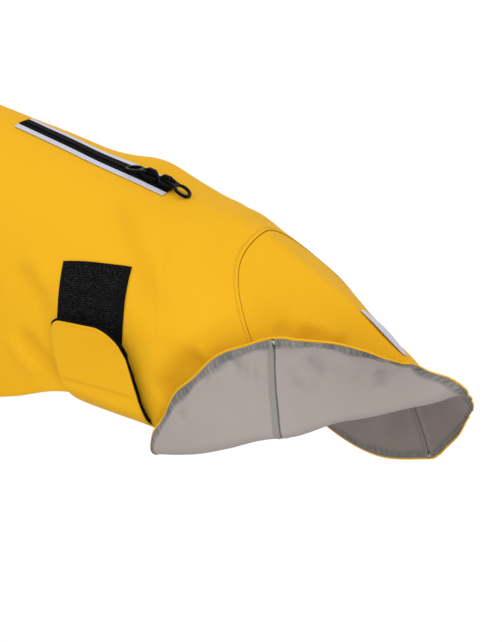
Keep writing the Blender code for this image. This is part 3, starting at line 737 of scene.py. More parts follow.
def makeLoopTape():
    f = Finish("loopTape")
    spot = f.objectPlace()
    fuzz = f.grain(spot, 1500.0, 3.0, 0.7)
    tuft = f.grain(spot, 420.0, 2.0)
    speck = ((f.grain(spot, 850.0, 1.0) - 0.42).floored(0.0) * 5.0).capped(1.0)
    colour = f.blend(fuzz, (0.0015, 0.0014, 0.0014), (0.0050, 0.0047, 0.0046))
    colour = f.blend(tuft * 0.5, colour, (0.0040, 0.0038, 0.0038))
    # painted highlight: specks of lighter pile on the ridge rows, set by the shade attribute, broken up at
    # random
    colour = f.blend(f.attribute("shade").capped(1.0) * speck, colour, (0.0370, 0.0360, 0.0355))
    return f.surface(height=fuzz + tuft * 0.8, step=0.0006, strength=0.9, Base_Color=colour,
                     Roughness=0.85 + (fuzz - 0.5) * 0.2, Specular_IOR_Level=0.05)


def makeZipTape():
    f = Finish("zipTape")
    u, v, _ = f.parts(f.clothPlace())
    rib = (u * (turn / 0.0008)).sine() * 0.5 + ((u + v) * (turn / 0.0011)).sine() * 0.5
    speck = f.grain(f.objectPlace(), 1400.0, 2.0)
    colour = f.blend(speck, (0.0022, 0.0020, 0.0021), (0.0065, 0.0060, 0.0062))
    return f.surface(height=rib + speck, step=0.00025, strength=0.6, Base_Color=colour,
                     Roughness=0.72 + (speck - 0.5) * 0.15, Specular_IOR_Level=0.05)


def makeEnamel():
    f = Finish("blackEnamel")
    spot = f.objectPlace()
    orange = f.grain(spot, 700.0, 2.0)
    smudge = f.grain(spot, 120.0, 3.0)
    colour = f.blend(smudge, (0.0010, 0.0009, 0.0009), (0.0028, 0.0026, 0.0026))
    return f.surface(height=orange, step=0.00008, strength=0.4, Base_Color=colour,
                     Roughness=0.38 + (smudge - 0.5) * 0.2, Specular_IOR_Level=0.07)


def makeReflective():
    f = Finish("reflectiveTape")
    spot = f.objectPlace()
    beads = f.node("ShaderNodeTexVoronoi", None, Vector=spot, Scale=2600.0)
    broad = f.grain(spot, 90.0, 2.0)
    colour = f.blend(beads, (0.50, 0.50, 0.60), (0.40, 0.405, 0.49))
    colour = f.blend(broad * 0.4, colour, (0.53, 0.53, 0.62))
    return f.surface(height=beads, step=0.00006, strength=0.5, Base_Color=colour,
                     Roughness=0.42 + (broad - 0.5) * 0.2, Specular_IOR_Level=0.4)


def makeThread(name, colour, shade):
    f = Finish(name)
    twist = f.grain(f.objectPlace(), 2200.0, 2.0)
    return f.surface(height=twist, step=0.0001, strength=0.5, Base_Color=f.blend(twist, shade, colour),
                     Roughness=0.6 + (twist - 0.5) * 0.2, Specular_IOR_Level=0.2)


yellowCoated, greyLining = makeCoated(), makeLining()
loopTape, zipTape, blackEnamel, reflectiveTape = makeLoopTape(), makeZipTape(), makeEnamel(), makeReflective()
yellowThread = makeThread("yellowThread", (0.78, 0.47, 0.045), (0.62, 0.32, 0.012))
greyThread = makeThread("greyThread", (0.060, 0.060, 0.058), (0.030, 0.030, 0.029))
paleThread = makeThread("paleThread", (0.62, 0.56, 0.48), (0.45, 0.40, 0.34))
blackThread = makeThread("blackThread", (0.014, 0.014, 0.015), (0.006, 0.006, 0.006))
print("finishes made")

shellRows = dict(front=58, lobe=112, rump=92, nearColumns=104, farColumns=62, foldExtra=22, hemExtra=3)
liningRows = dict(front=50, lobe=280, rump=90, rear=34, rearFrom=13.6,
                  back=dict(nearColumns=66, farColumns=42, foldExtra=16, hemExtra=11),
                  tail=dict(nearColumns=100, farColumns=78, foldExtra=16, hemExtra=11))
# shadeWide and the groove shades paint shade into the shell's seam and topstitch groove; the line and side
# tones paint the lining seam's shadow line and the shade beside it
seamFinish = dict(dive=0.12, diveWide=0.4, shadeWide=0.25,
                  grooveAt=3.0, grooveWide=0.6, groove=0.35, grooveShade=0.22, grooveShadeWide=0.7,
                  swell=0.35, swellWide=4.5, liningSwell=0.45, liningSwellAt=2.2, liningSwellWide=1.6,
                  liningDive=0.05, liningDiveWide=0.8, lap=0.12, lineWide=0.70, seamShadowTone=1.3,
                  sideWide=4.6, seamSideShade=0.42)
# tone is the painted shade of the gathered hem band, deeper in the gathers' valleys
gathers = dict(band=6.8, height=1.0, pitch=4.2, tone=0.72, pressed=0.30,
               wobble=0.11, ripple=0.31, reach=0.06, mottle=0.17)      # the last four are noise pitches
lobeStation, lastStation = 5, len(sections) - 1
seamRows = [8.985, 9.0, 9.012, 9.03]      # close rows about the seam keep its line narrow
rumpCrowding = 1.35


def stationRun(rows):
    seam, rear = coat["seamStation"], lastStation
    front = np.linspace(0, lobeStation, rows["front"])
    lobe = np.linspace(lobeStation, seam, rows["lobe"])
    rump = rear - (rear - seam) * (1 - np.linspace(0, 1, rows["rump"])) ** rumpCrowding
    return np.concatenate([front, lobe[1:-1], seamRows, rump[1:]])


def liningStations():
    # rows of the two linings; each has one row past the seam, dropped once its normals are known
    rows, seam = liningRows, coat["seamStation"]
    back = np.concatenate([np.linspace(0, lobeStation, rows["front"]),
                           np.linspace(lobeStation, seam, rows["lobe"])[1:], [9.02]])
    tail = np.concatenate([[8.98], seamRows[1:], np.linspace(seam, rows["rearFrom"], rows["rump"])[1:],
                           np.linspace(rows["rearFrom"], lastStation, rows["rear"])[1:]])
    return back, tail


def pulledIn(points, row, neighbour, distance):
    step = points[neighbour] - points[row]
    points[row] += step * (distance / np.maximum(np.linalg.norm(step, axis=1), 1e-9)[:, None])


def insetColumns(points, normals, distance):
    # the grid cut back by a distance along its first and last columns
    shorter, kept = [], []
    for p, n in zip(points, normals):
        run = runOf(p)
        inside = run[(run > distance + 0.3) & (run < run[-1] - distance - 0.3)]
        place = np.interp(np.linspace(0, 1, len(p)), np.linspace(0, 1, len(inside) + 2),
                          np.concatenate([[distance], inside, [run[-1] - distance]]))
        shorter.append(atRun(p, place, run))
        kept.append(atRun(n, place, run))
    return np.array(shorter), np.array(kept)


def settleCreases():
    # puts the points of the flap's creases onto the turned cloth
    rows = np.array([nearRow(u, 121, 22, 3)[::-1] for u in np.linspace(6, 14, 121)])
    plain = rows[:, :, :3] + np.array([0, 0, coat["lift"]])
    plain -= outward(plain) * (coat["liningDepth"] * easeStep(rows[:, :, 3]))[:, :, None]
    cloth = plain[rows[:, :, 3] > 0.6]
    creases["flap"] = [([ontoCloth(spot, cloth) for spot in path], width, height)
                       for path, width, height in creases["flap"]]


settleCreases()
shellGrid = ClothGrid(stationRun(shellRows), shellRows["nearColumns"], shellRows["farColumns"],
                      shellRows["foldExtra"], shellRows["hemExtra"])
liningGrids = [ClothGrid(stations, *liningRows[part].values())
               for part, stations in zip(("back", "tail"), liningStations())]
print("cloth grids made", shellGrid.points.shape, [g.points.shape for g in liningGrids])


def makeShells():
    seam = int(np.argmin(np.abs(shellGrid.stations - coat["seamStation"])))
    made = {}
    for name, node, start, stop, seamEdge in (("backShell", "back_shell", 0, seam + 1, "last"),
                                              ("rumpShell", "rump_panel", seam, None, "first")):
        points, normals = shellGrid.points[start:stop].copy(), shellGrid.normals[start:stop].copy()
        away = awayFrom(points, seamEdge)
        lift = -seamFinish["dive"] * bump(away / seamFinish["diveWide"])
        # painted shade: darker in the seam, in the topstitch groove and in the creases' valleys
        shade = bump(away / seamFinish["shadeWide"])
        if name == "backShell":
            fromGroove = away - seamFinish["grooveAt"]
            lift += seamFinish["swell"] * bump(away / seamFinish["swellWide"])
            lift -= seamFinish["groove"] * bump(fromGroove / seamFinish["grooveWide"])
            dark = seamFinish["grooveShade"] * bump(fromGroove / seamFinish["grooveShadeWide"])
            shade = np.maximum(shade, dark)
        shade = np.maximum(shade, creaseShade["body"] * np.clip(-shellGrid.creased[start:stop], 0, 2.5))
        points += normals * lift[:, :, None]
        edge, beside = (-1, -2) if seamEdge == "last" else (0, 1)
        pulledIn(points, edge, beside, coat["seamHalfGap"])
        clothPiece(name, node, points, normals, coat["shellDepth"], yellowCoated, shade)
        made[name] = points, normals
    return made


def hemGathers(points, edges):
    # gathers along the hems, dying out past the stitched line, and the painted shade of the hem band, deeper
    # in their valleys
    lift, tone = np.zeros(points.shape[:2]), np.zeros(points.shape[:2])
    for edge, seed in edges:
        away, run = awayFrom(points, edge), runOf(fromEdge(points, edge)[0])
        wobble, ripple, reach, mottle = (noiseAlong(run, gathers[name], seed, shift) for name, shift in
                                         (("wobble", 0.5), ("ripple", 2.5), ("reach", 5.5), ("mottle", 8.5)))
        reach = gathers["band"] * (1.0 + 0.5 * reach)
        wave = 0.5 + 0.5 * np.sin(run / gathers["pitch"] * turn + 5.0 * wobble + 2.2 * ripple)
        size = gathers["height"] * (0.8 + 0.9 * wobble + 0.5 * ripple)
        wave, size, reach, mottle = (v[:, None] if edge in ("near", "far") else v[None, :]
                                     for v in (wave, size, reach, mottle))
        fade = easeStep((away - 0.6) / 1.6) * (1 - easeStep((away - reach * 0.40) / (reach * 0.75)))
        lift += wave * size * fade - gathers["pressed"] * bump((away - 1.2) / 0.8)
        band = 1 - easeStep((away - reach * 0.60) / (reach * 0.5))
        tone = np.maximum(tone, band * gathers["tone"] * (0.86 + 0.55 * (1 - wave) * fade + 0.6 * mottle))
    return lift, tone


def makeLinings():
    made = {}
    for name, node, grid, seamEdge in (("backLining", "lining_back", liningGrids[0], "last"),
                                       ("rumpLining", "lining_rump", liningGrids[1], "first")):
        kept, free = (slice(0, -1), "first") if seamEdge == "last" else (slice(1, None), "last")
        points, normals = grid.points[kept].copy(), grid.normals[kept].copy()
        inset = coat["liningInset"]
        pulledIn(points, *((0, 1) if free == "first" else (-1, -2)), inset)
        points, both = insetColumns(points, np.dstack([normals, grid.creased[kept]]), inset)
        normals, creased = both[:, :, :3], both[:, :, 3]
        pulledIn(points, *((-1, -2) if seamEdge == "last" else (0, 1)), -seamFinish["lap"])
        away = awayFrom(points, seamEdge)
        fromSwell = (away - seamFinish["liningSwellAt"]) / seamFinish["liningSwellWide"]
        swell = (seamFinish["liningSwell"] * bump(fromSwell)
                 - seamFinish["liningDive"] * bump(away / seamFinish["liningDiveWide"]))
        lift, tone = hemGathers(points, (("near", 4.0), ("far", 9.0), (free, 14.0)))
        # painted shade beside the seam and in the creases' valleys, and a near-black painted shadow line in
        # the seam
        if seamEdge == "last":
            side = 1 - easeStep((away - seamFinish["sideWide"]) / 1.2)
            tone = np.maximum(tone, seamFinish["seamSideShade"] * side)
        tone = np.maximum(tone, creaseShade["flap"] * np.clip(creased, 0, 2))
        line = seamFinish["lineWide"]
        tone += seamFinish["seamShadowTone"] * (1 - easeStep((away - line * 0.5) / (line * 0.7)))
        face = points - normals * (coat["liningDepth"] + lift + swell)[:, :, None]
        clothPiece(name, node, face, -normals, coat["liningWall"], greyLining, tone)
        made[name] = face, -normals
    return made


shells, linings = makeShells(), makeLinings()
print("shell and lining made")

chest = dict(neckShare=0.50, levels=26, columns=56, bulge=36, bulgeGrowth=30, dip=16, seamGap=0.4,
             slack=1.1, slackPitch=0.03, slackFrom=12)


def frontEdge(side, share):
    line = section(0.0, side)
    return atRun(line, [share * runOf(line)[-1]])[0] + np.array([0, 0, coat["lift"]])


def makeChest():
    rows, mirror = [], np.array([1, -1, 1])
    for share in np.linspace(chest["neckShare"], 1.0, chest["levels"]):
        down = (share - chest["neckShare"]) / (1 - chest["neckShare"])
        a = frontEdge(-1, share) + np.array([-chest["seamGap"], 0, 0])
        b = a + np.array([-chest["bulge"] - chest["bulgeGrowth"] * down, -2.0, -chest["dip"] * (1 - down)])
        t = np.linspace(0, 1, chest["columns"])[:, None]
        rows.append((1 - t) ** 3 * a + 3 * (1 - t) ** 2 * t * b + 3 * (1 - t) * t * t * b * mirror
                    + t ** 3 * a * mirror)
    points = np.array(rows)
    normals = outward(points)
    if normals[0, chest["columns"] // 2] @ np.array([-1.0, 0, 0]) < 0:
        normals = -normals
    inside = 1.0
    for edge in ("near", "far"):
        inside = inside * easeStep(awayFrom(points, edge) / chest["slackFrom"])
    points = points + normals * (noiseOver(points, chest["slackPitch"]) * chest["slack"] * inside)[:, :, None]
    clothPiece("chestShell", "chest_panel", points, normals, coat["shellDepth"], yellowCoated)
    return points, normals


chestPoints, chestNormals = makeChest()

hem = dict(radius=0.6, sides=8, flatten=0.9, stitchIn=1.9)


def makeHemRoll():
    work = bmesh.new()
    sink = coat["shellDepth"] / 2
    points, normals = shellGrid.points, shellGrid.normals
    middle = shellGrid.nearColumns - 1
    ends = []
    for side in (-1, 1):
        run = runOf(shellGrid.half(side)[0][0])
        ends.append(middle + side * int((run <= run[-1] * chest["neckShare"]).sum()))
    neck = slice(ends[0] + 1, ends[1])
    for line, n in ((points[:, 0], normals[:, 0]), (points[:, -1], normals[:, -1]), (points[-1], normals[-1]),
                    (points[0, neck], normals[0, neck]), (chestPoints[0], chestNormals[0]),
                    (chestPoints[-1], chestNormals[-1])):
        sweepTube(work, line - n * sink, hem["radius"], hem["sides"], n, hem["flatten"])
    pieceFrom(work, "hemRoll", yellowCoated)


makeHemRoll()
print("hems turned")

strap = dict(
    wall=1.1, wide=60.0, sewn=26.0, inside=3.0, cornerFront=9.0, cornerRear=20.0, hookLong=72.0,
    hookMargins=(0.1, -0.8, -0.3), hookCorner=6.0, hookGap=0.10, hookWall=1.9, hookSeam=45.0,
    stitchIn=1.6, sewnStations=(3.36, 4.98), lengthwise=190, columns=46, slack=0.5, slackPitch=0.035,
    edge=0.45, edgeDrop=0.25, stitchLineShade=0.30,
    rows=[
        # front edge x y z, rear edge x y z, from the far hem to the peeled tip
        (25.0, 80.0, -144, 80.0, 78.0, -151), (26.0, 45.0, -160, 82.0, 44.0, -166),
        (27.0, 0.0, -168, 83.0, 0.0, -173), (25.0, -46.0, -159, 82.5, -46.0, -165),
        (23.0, -80.0, -140, 81.5, -80.0, -147), (21.0, -91.0, -130, 81.0, -91.0, -137),
        (16.5, -92.7, -121, 77.5, -93.0, -124), (14.5, -93.2, -112, 74.0, -94.6, -110),
        (13.0, -94.7, -99, 70.0, -96.6, -94), (13.5, -98.0, -79, 65.5, -101.0, -77)],
)


def strapTable():
    sewn = []
    for up in (strap["sewn"], strap["sewn"] / 2, 1.0):
        row = []
        for station in strap["sewnStations"]:
            line = section(station, 1)
            whole = runOf(line)[-1]
            p = atRun(line, [whole - up])[0]
            ahead, behind = (atRun(section(station + step, 1), [whole - up])[0] for step in (0.05, -0.05))
            lower, upper = (atRun(line, [place])[0] for place in (min(whole, whole - up + 1), whole - up - 1))
            n = np.cross(ahead - behind, lower - upper)
            row.append(p - n / np.linalg.norm(n) * strap["inside"])
        sewn.append(np.concatenate(row))
    return np.concatenate([np.array(sewn), np.array(strap["rows"], float)])


def strapGrid(start, lengthwise, columns, margins, cornerFront):
    # the strap's outer face inside its front, rear and tip margins
    # its outer columns are shorter, which rounds the corners; a start below 0 is counted from the tip
    table = strapTable()
    lift = np.array([0, 0, coat["lift"]])
    places = np.linspace(0, len(table) - 1, 700)
    rows = np.array([alongRows(table, p) for p in places])
    run = runOf(0.5 * (rows[:, :3] + rows[:, 3:]))
    grid = []
    frontMargin, rearMargin, tipMargin = margins
    for share in np.linspace(frontMargin / strap["wide"], 1 - rearMargin / strap["wide"], columns):
        cut = tipMargin
        for d, corner in ((share * strap["wide"] - min(frontMargin, 0.0), cornerFront),
                          ((1 - share) * strap["wide"] - min(rearMargin, 0.0), strap["cornerRear"])):
            if d < corner:
                cut = max(cut, tipMargin + corner - math.sqrt(max(corner ** 2 - (corner - d) ** 2, 0)))
        first = start if start >= 0 else run[-1] + start
        s = first + (run[-1] - cut - first) * np.linspace(0, 1, lengthwise)
        line = rows[:, :3] + (rows[:, 3:] - rows[:, :3]) * share + lift
        past = np.maximum(s - run[-1], 0.0)[:, None] * (line[-1] - line[-2]) / (run[-1] - run[-2])
        grid.append(np.stack([np.interp(s, run, line[:, k]) for k in range(3)], axis=1) + past)
    grid = np.array(grid).transpose(1, 0, 2)
    n = outward(grid)
    return grid, (n if n[-1, columns // 2, 1] < 0 else -n)


def makeStrap():
    points, normals = strapGrid(0.0, strap["lengthwise"], strap["columns"], (0.0, 0.0, 0.0),
                                strap["cornerFront"])
    fromEdges = np.min([awayFrom(points, edge) for edge in ("near", "far", "last")], axis=0)
    lift = (noiseOver(points, strap["slackPitch"]) * strap["slack"]
            - strap["edgeDrop"] * (1 - easeStep(fromEdges / 1.5)))
    points = points + normals * lift[:, :, None]
    along = awayFrom(points, "first")
    foot = along[-1, strap["columns"] // 2] - strap["hookSeam"]
    # painted shade along the stitch lines at the hook seam and round the edges
    shade = strap["stitchLineShade"] * np.maximum(bump((along - foot) / 0.8),
                                           0.5 * bump((fromEdges - strap["stitchIn"]) / 0.7))
    clothPiece("strapShell", "belly_strap", points, normals, strap["wall"], yellowCoated,
               shade, strap["edge"])
    hooks, up = strapGrid(-strap["hookLong"], 60, 60, strap["hookMargins"], strap["hookCorner"])
    layFlat("hookPatch", "strap_hook_patch", hooks - up * (strap["wall"] + strap["hookGap"]), -up, 0.0,
            strap["hookWall"], loopTape, "hook_and_loop", 0.2)
    return points, normals, foot


strapPoints, strapNormals, strapFoot = makeStrap()
print("strap made")

patch = dict(topFront=(3.03, 0.506), topRear=(4.37, 0.450), lowFront=(3.04, 0.775), lowRear=(4.33, 0.752),
             rows=150, columns=120, low=0.45, wall=0.5, pile=0.75, ridge=0.34, ridgePitch=1.55,
             selvedge=2.6, wideSelvedge=5.2, selvedgeFade=0.9, coarse=(18, 22), fuzz=0.22,
             stitchLines=(("first", 1.6), ("last", 4.4), ("near", 1.6), ("far", 1.6)))


def patchSpot(across, down):
    # station, side and distance from the spine for a share across and down the patch
    top = np.array(patch["topFront"]) * (1 - across) + np.array(patch["topRear"]) * across
    low = np.array(patch["lowFront"]) * (1 - across) + np.array(patch["lowRear"]) * across
    station, share = top * (1 - down) + low * down
    return station, -1, share * runOf(section(station, -1, 121))[-1]


def finer(values, rows, columns):
    # a coarse grid filled in with smooth curves, first down and then across
    across = np.linspace(0, values.shape[0] - 1, columns)
    down = np.linspace(0, values.shape[1] - 1, rows)
    filled = np.array([[alongRows(line, d) for d in down] for line in values])
    return np.array([[alongRows(filled[:, j], a) for j in range(len(down))] for a in across])


def makeLoopPatch():
    across, down = (np.linspace(0, 1, count) for count in patch["coarse"])
    coarse = paired([[shellGrid.at(*patchSpot(a, d)) for d in down] for a in across])
    points, normals = (finer(values, patch["rows"], patch["columns"]) for values in coarse)
    normals /= np.linalg.norm(normals, axis=2)[:, :, None]
    pile = 1.0
    for edge in ("first", "last", "near", "far"):
        border = patch["wideSelvedge" if edge == "last" else "selvedge"]
        pile = pile * easeStep((awayFrom(points, edge) - border) / patch["selvedgeFade"])
    ridge = 0.5 + 0.5 * np.sin(awayFrom(points, "near") / patch["ridgePitch"] * turn)
    fuzz = noiseOver(points, 1.9) + 0.7 * noiseOver(points, 4.1)
    height = pile * (patch["pile"] * 0.5 + patch["ridge"] * ridge + patch["fuzz"] * fuzz) + 0.06 * fuzz
    top = points + normals * (patch["low"] + patch["wall"] + height)[:, :, None]
    # painted highlight: the pile's ridge rows are lighter, with random speckle, and the selvedge is speckled
    # at random
    shade = (pile * np.clip(-0.1 + 0.75 * ridge + 0.85 * fuzz, 0, 1)
             + (1 - pile) * np.clip(0.15 + 0.15 * fuzz, 0, 1))
    clothPiece("loopPatch", "side_loop_patch", top, normals, patch["wall"], loopTape, shade)
    return points, normals


patchPoints, patchNormals = makeLoopPatch()
print("loop patch made")

leashZip = dict(front=-74.0, rear=47.0, half=5.8, low=0.5, wall=0.7, trimWide=4.8, trimGap=0.4, trimWall=0.45,
                coilPitch=1.3, coilLong=0.84, coilWide=3.3, coilHigh=1.0, coilEnd=23.0, coilTilt=0.16,
                coilApart=0.75, coilAbove=0.25, boxWide=15.5, boxFront=-84.0, boxRear=59.0, boxRound=12.0)
spineStations = np.linspace(0, len(sections) - 1, 1401)
spineXs = np.array([alongRows(sections, u)[0] for u in spineStations])


def stationAt(x):
    return float(np.interp(x, spineXs, spineStations))


def backLine(xs, side, distance):
    return paired([shellGrid.at(stationAt(x), side, distance) for x in xs])


def backStrip(xs, side, start, stop, columns=9):
    return np.stack([backLine(xs, side, d) for d in np.linspace(start, stop, columns)], axis=2)


def makeZip():
    xs = np.linspace(leashZip["front"], leashZip["rear"], 90)
    low = leashZip["low"]
    for word, side in (("left", -1), ("right", 1)):
        points, normals = backStrip(xs, side, 0.2, leashZip["half"])
        ridge = 0.18 * bump((awayFrom(points, "far") - 0.8) / 0.5)
        layFlat("zipTape" + word.title(), "zip_tape_" + word, points + normals * ridge[:, :, None], normals,
                low, leashZip["wall"], zipTape, "zip_black")
        start = leashZip["half"] + leashZip["trimGap"]
        layFlat("reflectiveTrim" + word.title(), "reflective_strip_" + word,
                *backStrip(xs, side, start, start + leashZip["trimWide"]), low, leashZip["trimWall"],
                reflectiveTape, "reflective")
    work = bmesh.new()
    line, up = backLine(np.linspace(leashZip["front"] + 1, leashZip["coilEnd"], 160), 1, 0.0)
    run = runOf(line)
    for k, s in enumerate(np.arange(0.6, run[-1] - 0.4, leashZip["coilPitch"] / 2)):
        centre, n = Vector(atRun(line, [s], run)[0]), Vector(atRun(up, [s], run)[0]).normalized()
        along = atRun(line, [min(s + 0.5, run[-1])], run)[0] - atRun(line, [max(s - 0.5, 0)], run)[0]
        along = Vector(along).normalized()
        side = n.cross(along) * (1 if k % 2 else -1)
        tilt = (side + along * leashZip["coilTilt"]).normalized()
        centre = centre + side * leashZip["coilApart"] + n * (low + leashZip["wall"] + leashZip["coilAbove"])
        layBead(work, centre, (along * leashZip["coilLong"] / 2, tilt * leashZip["coilWide"] / 2,
                               n * leashZip["coilHigh"] / 2))
    pieceFrom(work, "zipCoil", blackEnamel)


makeZip()

rumpStrip = dict(front=190, rear=222, start=0.5, stop=9.5, bow=(0.7, 2.4))


def makeRumpTrim():
    xs = np.linspace(rumpStrip["front"], rumpStrip["rear"], 40)
    points, normals = backStrip(xs, 1, rumpStrip["start"], rumpStrip["stop"])
    arch = np.sin(np.linspace(0, math.pi, len(xs)))[:, None, None]
    bow = arch * np.linspace(*rumpStrip["bow"], points.shape[1])[None, :, None]
    layFlat("rumpTrim", "rump_reflective_strip", points + normals * bow, normals, leashZip["low"],
            leashZip["trimWall"], reflectiveTape, "reflective")


makeRumpTrim()
print("zip and trim made")

# Two sliders head to head on the zip; each pull hangs from its bridge and lies along the back.
slider = dict(long=12.2, wide=9.4, high=3.6, seat=1.6,
              bridgeLong=8.8, bridgeWide=2.2, bridgeHigh=4.0, bridgeBar=1.1,
              hoodLong=10.4, hoodWide=2.5, edge=0.45, sink=0.6,
              places=[("Front", 29.7, -1, 1.2), ("Rear", 42.23, 1, 0.0)])
pull = dict(thick=1.3, bar=1.3, frameHalf=3.6,
            ringAt=11.6, ringLong=6.7, ringWide=6.1, holeLong=4.7, holeWide=4.1,
            waist=3.9, bulge=0.35, bulgeFade=4.0, edge=0.40, play=0.6, slotPlay=0.45, slotLong=3.3,
            neckShort=1.2, slotShort=0.9, above=1.0, clear=0.7, reach=17.0)


def plateFrom(outline, holes, low, high):
    # a flat plate with holes, z from low to high
    work = bmesh.new()
    for loop in [outline] + holes:
        corners = [work.verts.new((x * mm, y * mm, low * mm)) for x, y in loop]
        for k, v in enumerate(corners):
            work.edges.new((corners[k - 1], v))
    bmesh.ops.triangle_fill(work, use_beauty=True, use_dissolve=False, edges=work.edges)
    raised = bmesh.ops.extrude_face_region(work, geom=work.faces[:])
    moved = [v for v in raised["geom"] if isinstance(v, bmesh.types.BMVert)]
    bmesh.ops.translate(work, verts=moved, vec=(0, 0, (high - low) * mm))
    bmesh.ops.recalc_face_normals(work, faces=work.faces)
    bmesh.ops.dissolve_limit(work, angle_limit=math.radians(1), verts=work.verts, edges=work.edges)
    return work


def roundEdges(work, width):
    edges = [e for e in work.edges if e.is_manifold and e.calc_face_angle() > math.radians(35)]
    bmesh.ops.bevel(work, geom=edges, offset=width * mm, segments=3, profile=0.5, affect="EDGES",
                    clamp_overlap=True, material=-1)
    return work


def ellipse(x, long, wide, count, start=0.0, stop=360.0):
    angles = np.radians(np.linspace(start, stop, count, endpoint=stop - start < 360))[:count]
    return [(x + long * math.cos(a), wide * math.sin(a)) for a in angles]


def hardwarePiece(work, name, node, body):
    bmesh.ops.triangulate(work, faces=[face for face in work.faces if len(face.verts) > 4])
    piece = pieceFrom(work, name, blackEnamel, body)
    piece.data.set_sharp_from_angle(angle=math.radians(38))
    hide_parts(node)


def mirrored(outline):
    # the outline and then its mirror image, from the end back to the start
    return outline + [(x, -y) for x, y in outline[::-1]]


def makeSlider(word, spineX, way, underRing):
    station = stationAt(spineX)
    here = section(station, 1)[0] + np.array([0, 0, coat["lift"]])
    ahead = alongRows(sections, station + 0.05)[:2] - alongRows(sections, station - 0.05)[:2]
    tangent = Vector((ahead[0], 0, ahead[1])).normalized() * way
    up = Vector((-tangent.z, 0, tangent.x)) * way
    side = up.cross(tangent)
    frameTurn = Matrix((tangent, side, up)).transposed().to_4x4()
    seat = Matrix.Translation((Vector(here) + up * slider["seat"]) * mm) @ frameTurn
    half, wide, high = slider["long"] / 2, slider["wide"] / 2, slider["high"]
    body = plateFrom(mirrored([(-half, -wide * 0.62), (-half * 0.45, -wide), (half * 0.72, -wide),
                               (half, -wide * 0.7)]), [], 0, high)
    roundEdges(body, slider["edge"] * 1.5)
    long, bar, arch = slider["bridgeLong"] / 2, slider["bridgeBar"], slider["bridgeHigh"]
    hood = slider["hoodLong"] / 2
    inner = pull["bar"] / 2
    pivotX = long - bar - inner - pull["play"]
    shut = pivotX - inner - 0.55
    low = high - slider["sink"]
    profile = [(-hood, low), (long, low), (long, high + arch * 0.62), (long * 0.62, high + arch),
               (-long * 0.62, high + arch), (-hood, high + arch * 0.45)]
    hole = [(shut, high), (long - bar, high), (long - bar, high + arch * 0.5),
            (long * 0.62, high + arch - bar), (shut, high + arch - bar)]
    bridge = plateFrom(profile, [hole], -slider["hoodWide"] / 2, slider["hoodWide"] / 2)
    roundEdges(bridge, slider["edge"])
    upright = Matrix.Rotation(math.radians(90), 3, "X")
    bmesh.ops.rotate(bridge, verts=bridge.verts, cent=(0, 0, 0), matrix=upright)
    pourInto(body, bridge)
    bmesh.ops.transform(body, matrix=seat, verts=body.verts)
    hardwarePiece(body, "slider" + word, "zip_slider_" + word.lower(), "coat")
    thick = pull["thick"] / 2
    pivotZ = high + pull["above"] + thick
    lean = math.asin((slider["seat"] + pivotZ - thick - pull["clear"] - underRing) / pull["reach"])
    slot = slider["bridgeWide"] / 2 + pull["slotPlay"]
    slotEnd = inner + bar + pull["slotLong"]
    start = 180 - math.degrees(math.asin(pull["waist"] / pull["ringWide"]))
    frame, neck, slotStop = pull["frameHalf"], slotEnd - pull["neckShort"], slotEnd - pull["slotShort"]
    outline = ([(-inner, frame), (-inner, -frame), (neck, -frame)]
               + ellipse(pull["ringAt"], pull["ringLong"], pull["ringWide"], 25, -start, start)
               + [(neck, frame)])
    slotHole = [(inner, -slot), (slotStop, -slot), (slotStop, slot), (inner, slot)]
    ringHole = ellipse(pull["ringAt"], pull["holeLong"], pull["holeWide"], 24)
    plate = plateFrom(outline, [slotHole, ringHole], -thick, thick)
    for v in plate.verts:
        away = easeStep((v.co.x / mm - slotEnd) / pull["bulgeFade"])
        v.co.z *= 1 + pull["bulge"] * float(away)
    roundEdges(plate, pull["edge"])
    swing = Matrix.Translation(Vector((pivotX, 0, pivotZ)) * mm) @ Matrix.Rotation(lean, 4, "Y")
    bmesh.ops.transform(plate, matrix=seat @ swing, verts=plate.verts)
    hardwarePiece(plate, "pull" + word, "zip_pull_" + word.lower(), "pull_" + word.lower())


for row in slider["places"]:
    makeSlider(*row)
print("sliders and pulls made")

cottonStitch = dict(long=2.1, gap=0.9, thick=0.34, proud=0.02)
seamStitch = dict(long=1.9, gap=1.3, thick=0.72, proud=0.12)
tightStitch = dict(long=1.7, gap=0.7, thick=0.30, proud=0.02)
liningStitch = dict(long=1.3, gap=0.9, thick=0.40, proud=0.05, inset=1.2)
barTack = dict(long=3.0, thick=0.45, rows=6, pitch=0.42, start=0.9, proud=0.15, along=6)


def layBarTack(work, corner, inward, normal):
    # close zigzag that locks the end of the rump seam, on the lining's face
    inward, normal = Vector(inward).normalized(), Vector(normal).normalized()
    along = inward.cross(normal).normalized()
    for k in range(barTack["rows"]):
        down = barTack["start"] + k * barTack["pitch"]
        centre = Vector(corner) + inward * down + normal * barTack["proud"]
        layBead(work, centre, (along * barTack["long"] / 2, inward * barTack["thick"] / 2,
                               normal * barTack["thick"] / 2))


def zipBox():
    # the stitched line round the zip's facing: down one side, round the rear end and back
    wide, front, rear = leashZip["boxWide"], leashZip["boxFront"], leashZip["boxRear"] - leashZip["boxRound"]
    box = [(x, -wide) for x in np.linspace(front, rear, 60)]
    box += [(rear + leashZip["boxRound"] * math.sin(a), -wide * math.cos(a))
            for a in np.linspace(0, math.pi, 40)[1:-1]]
    box += [(x, wide) for x in np.linspace(rear, front, 60)]
    return paired([shellGrid.at(stationAt(x), -1 if y < 0 else 1, abs(y)) for x, y in box])


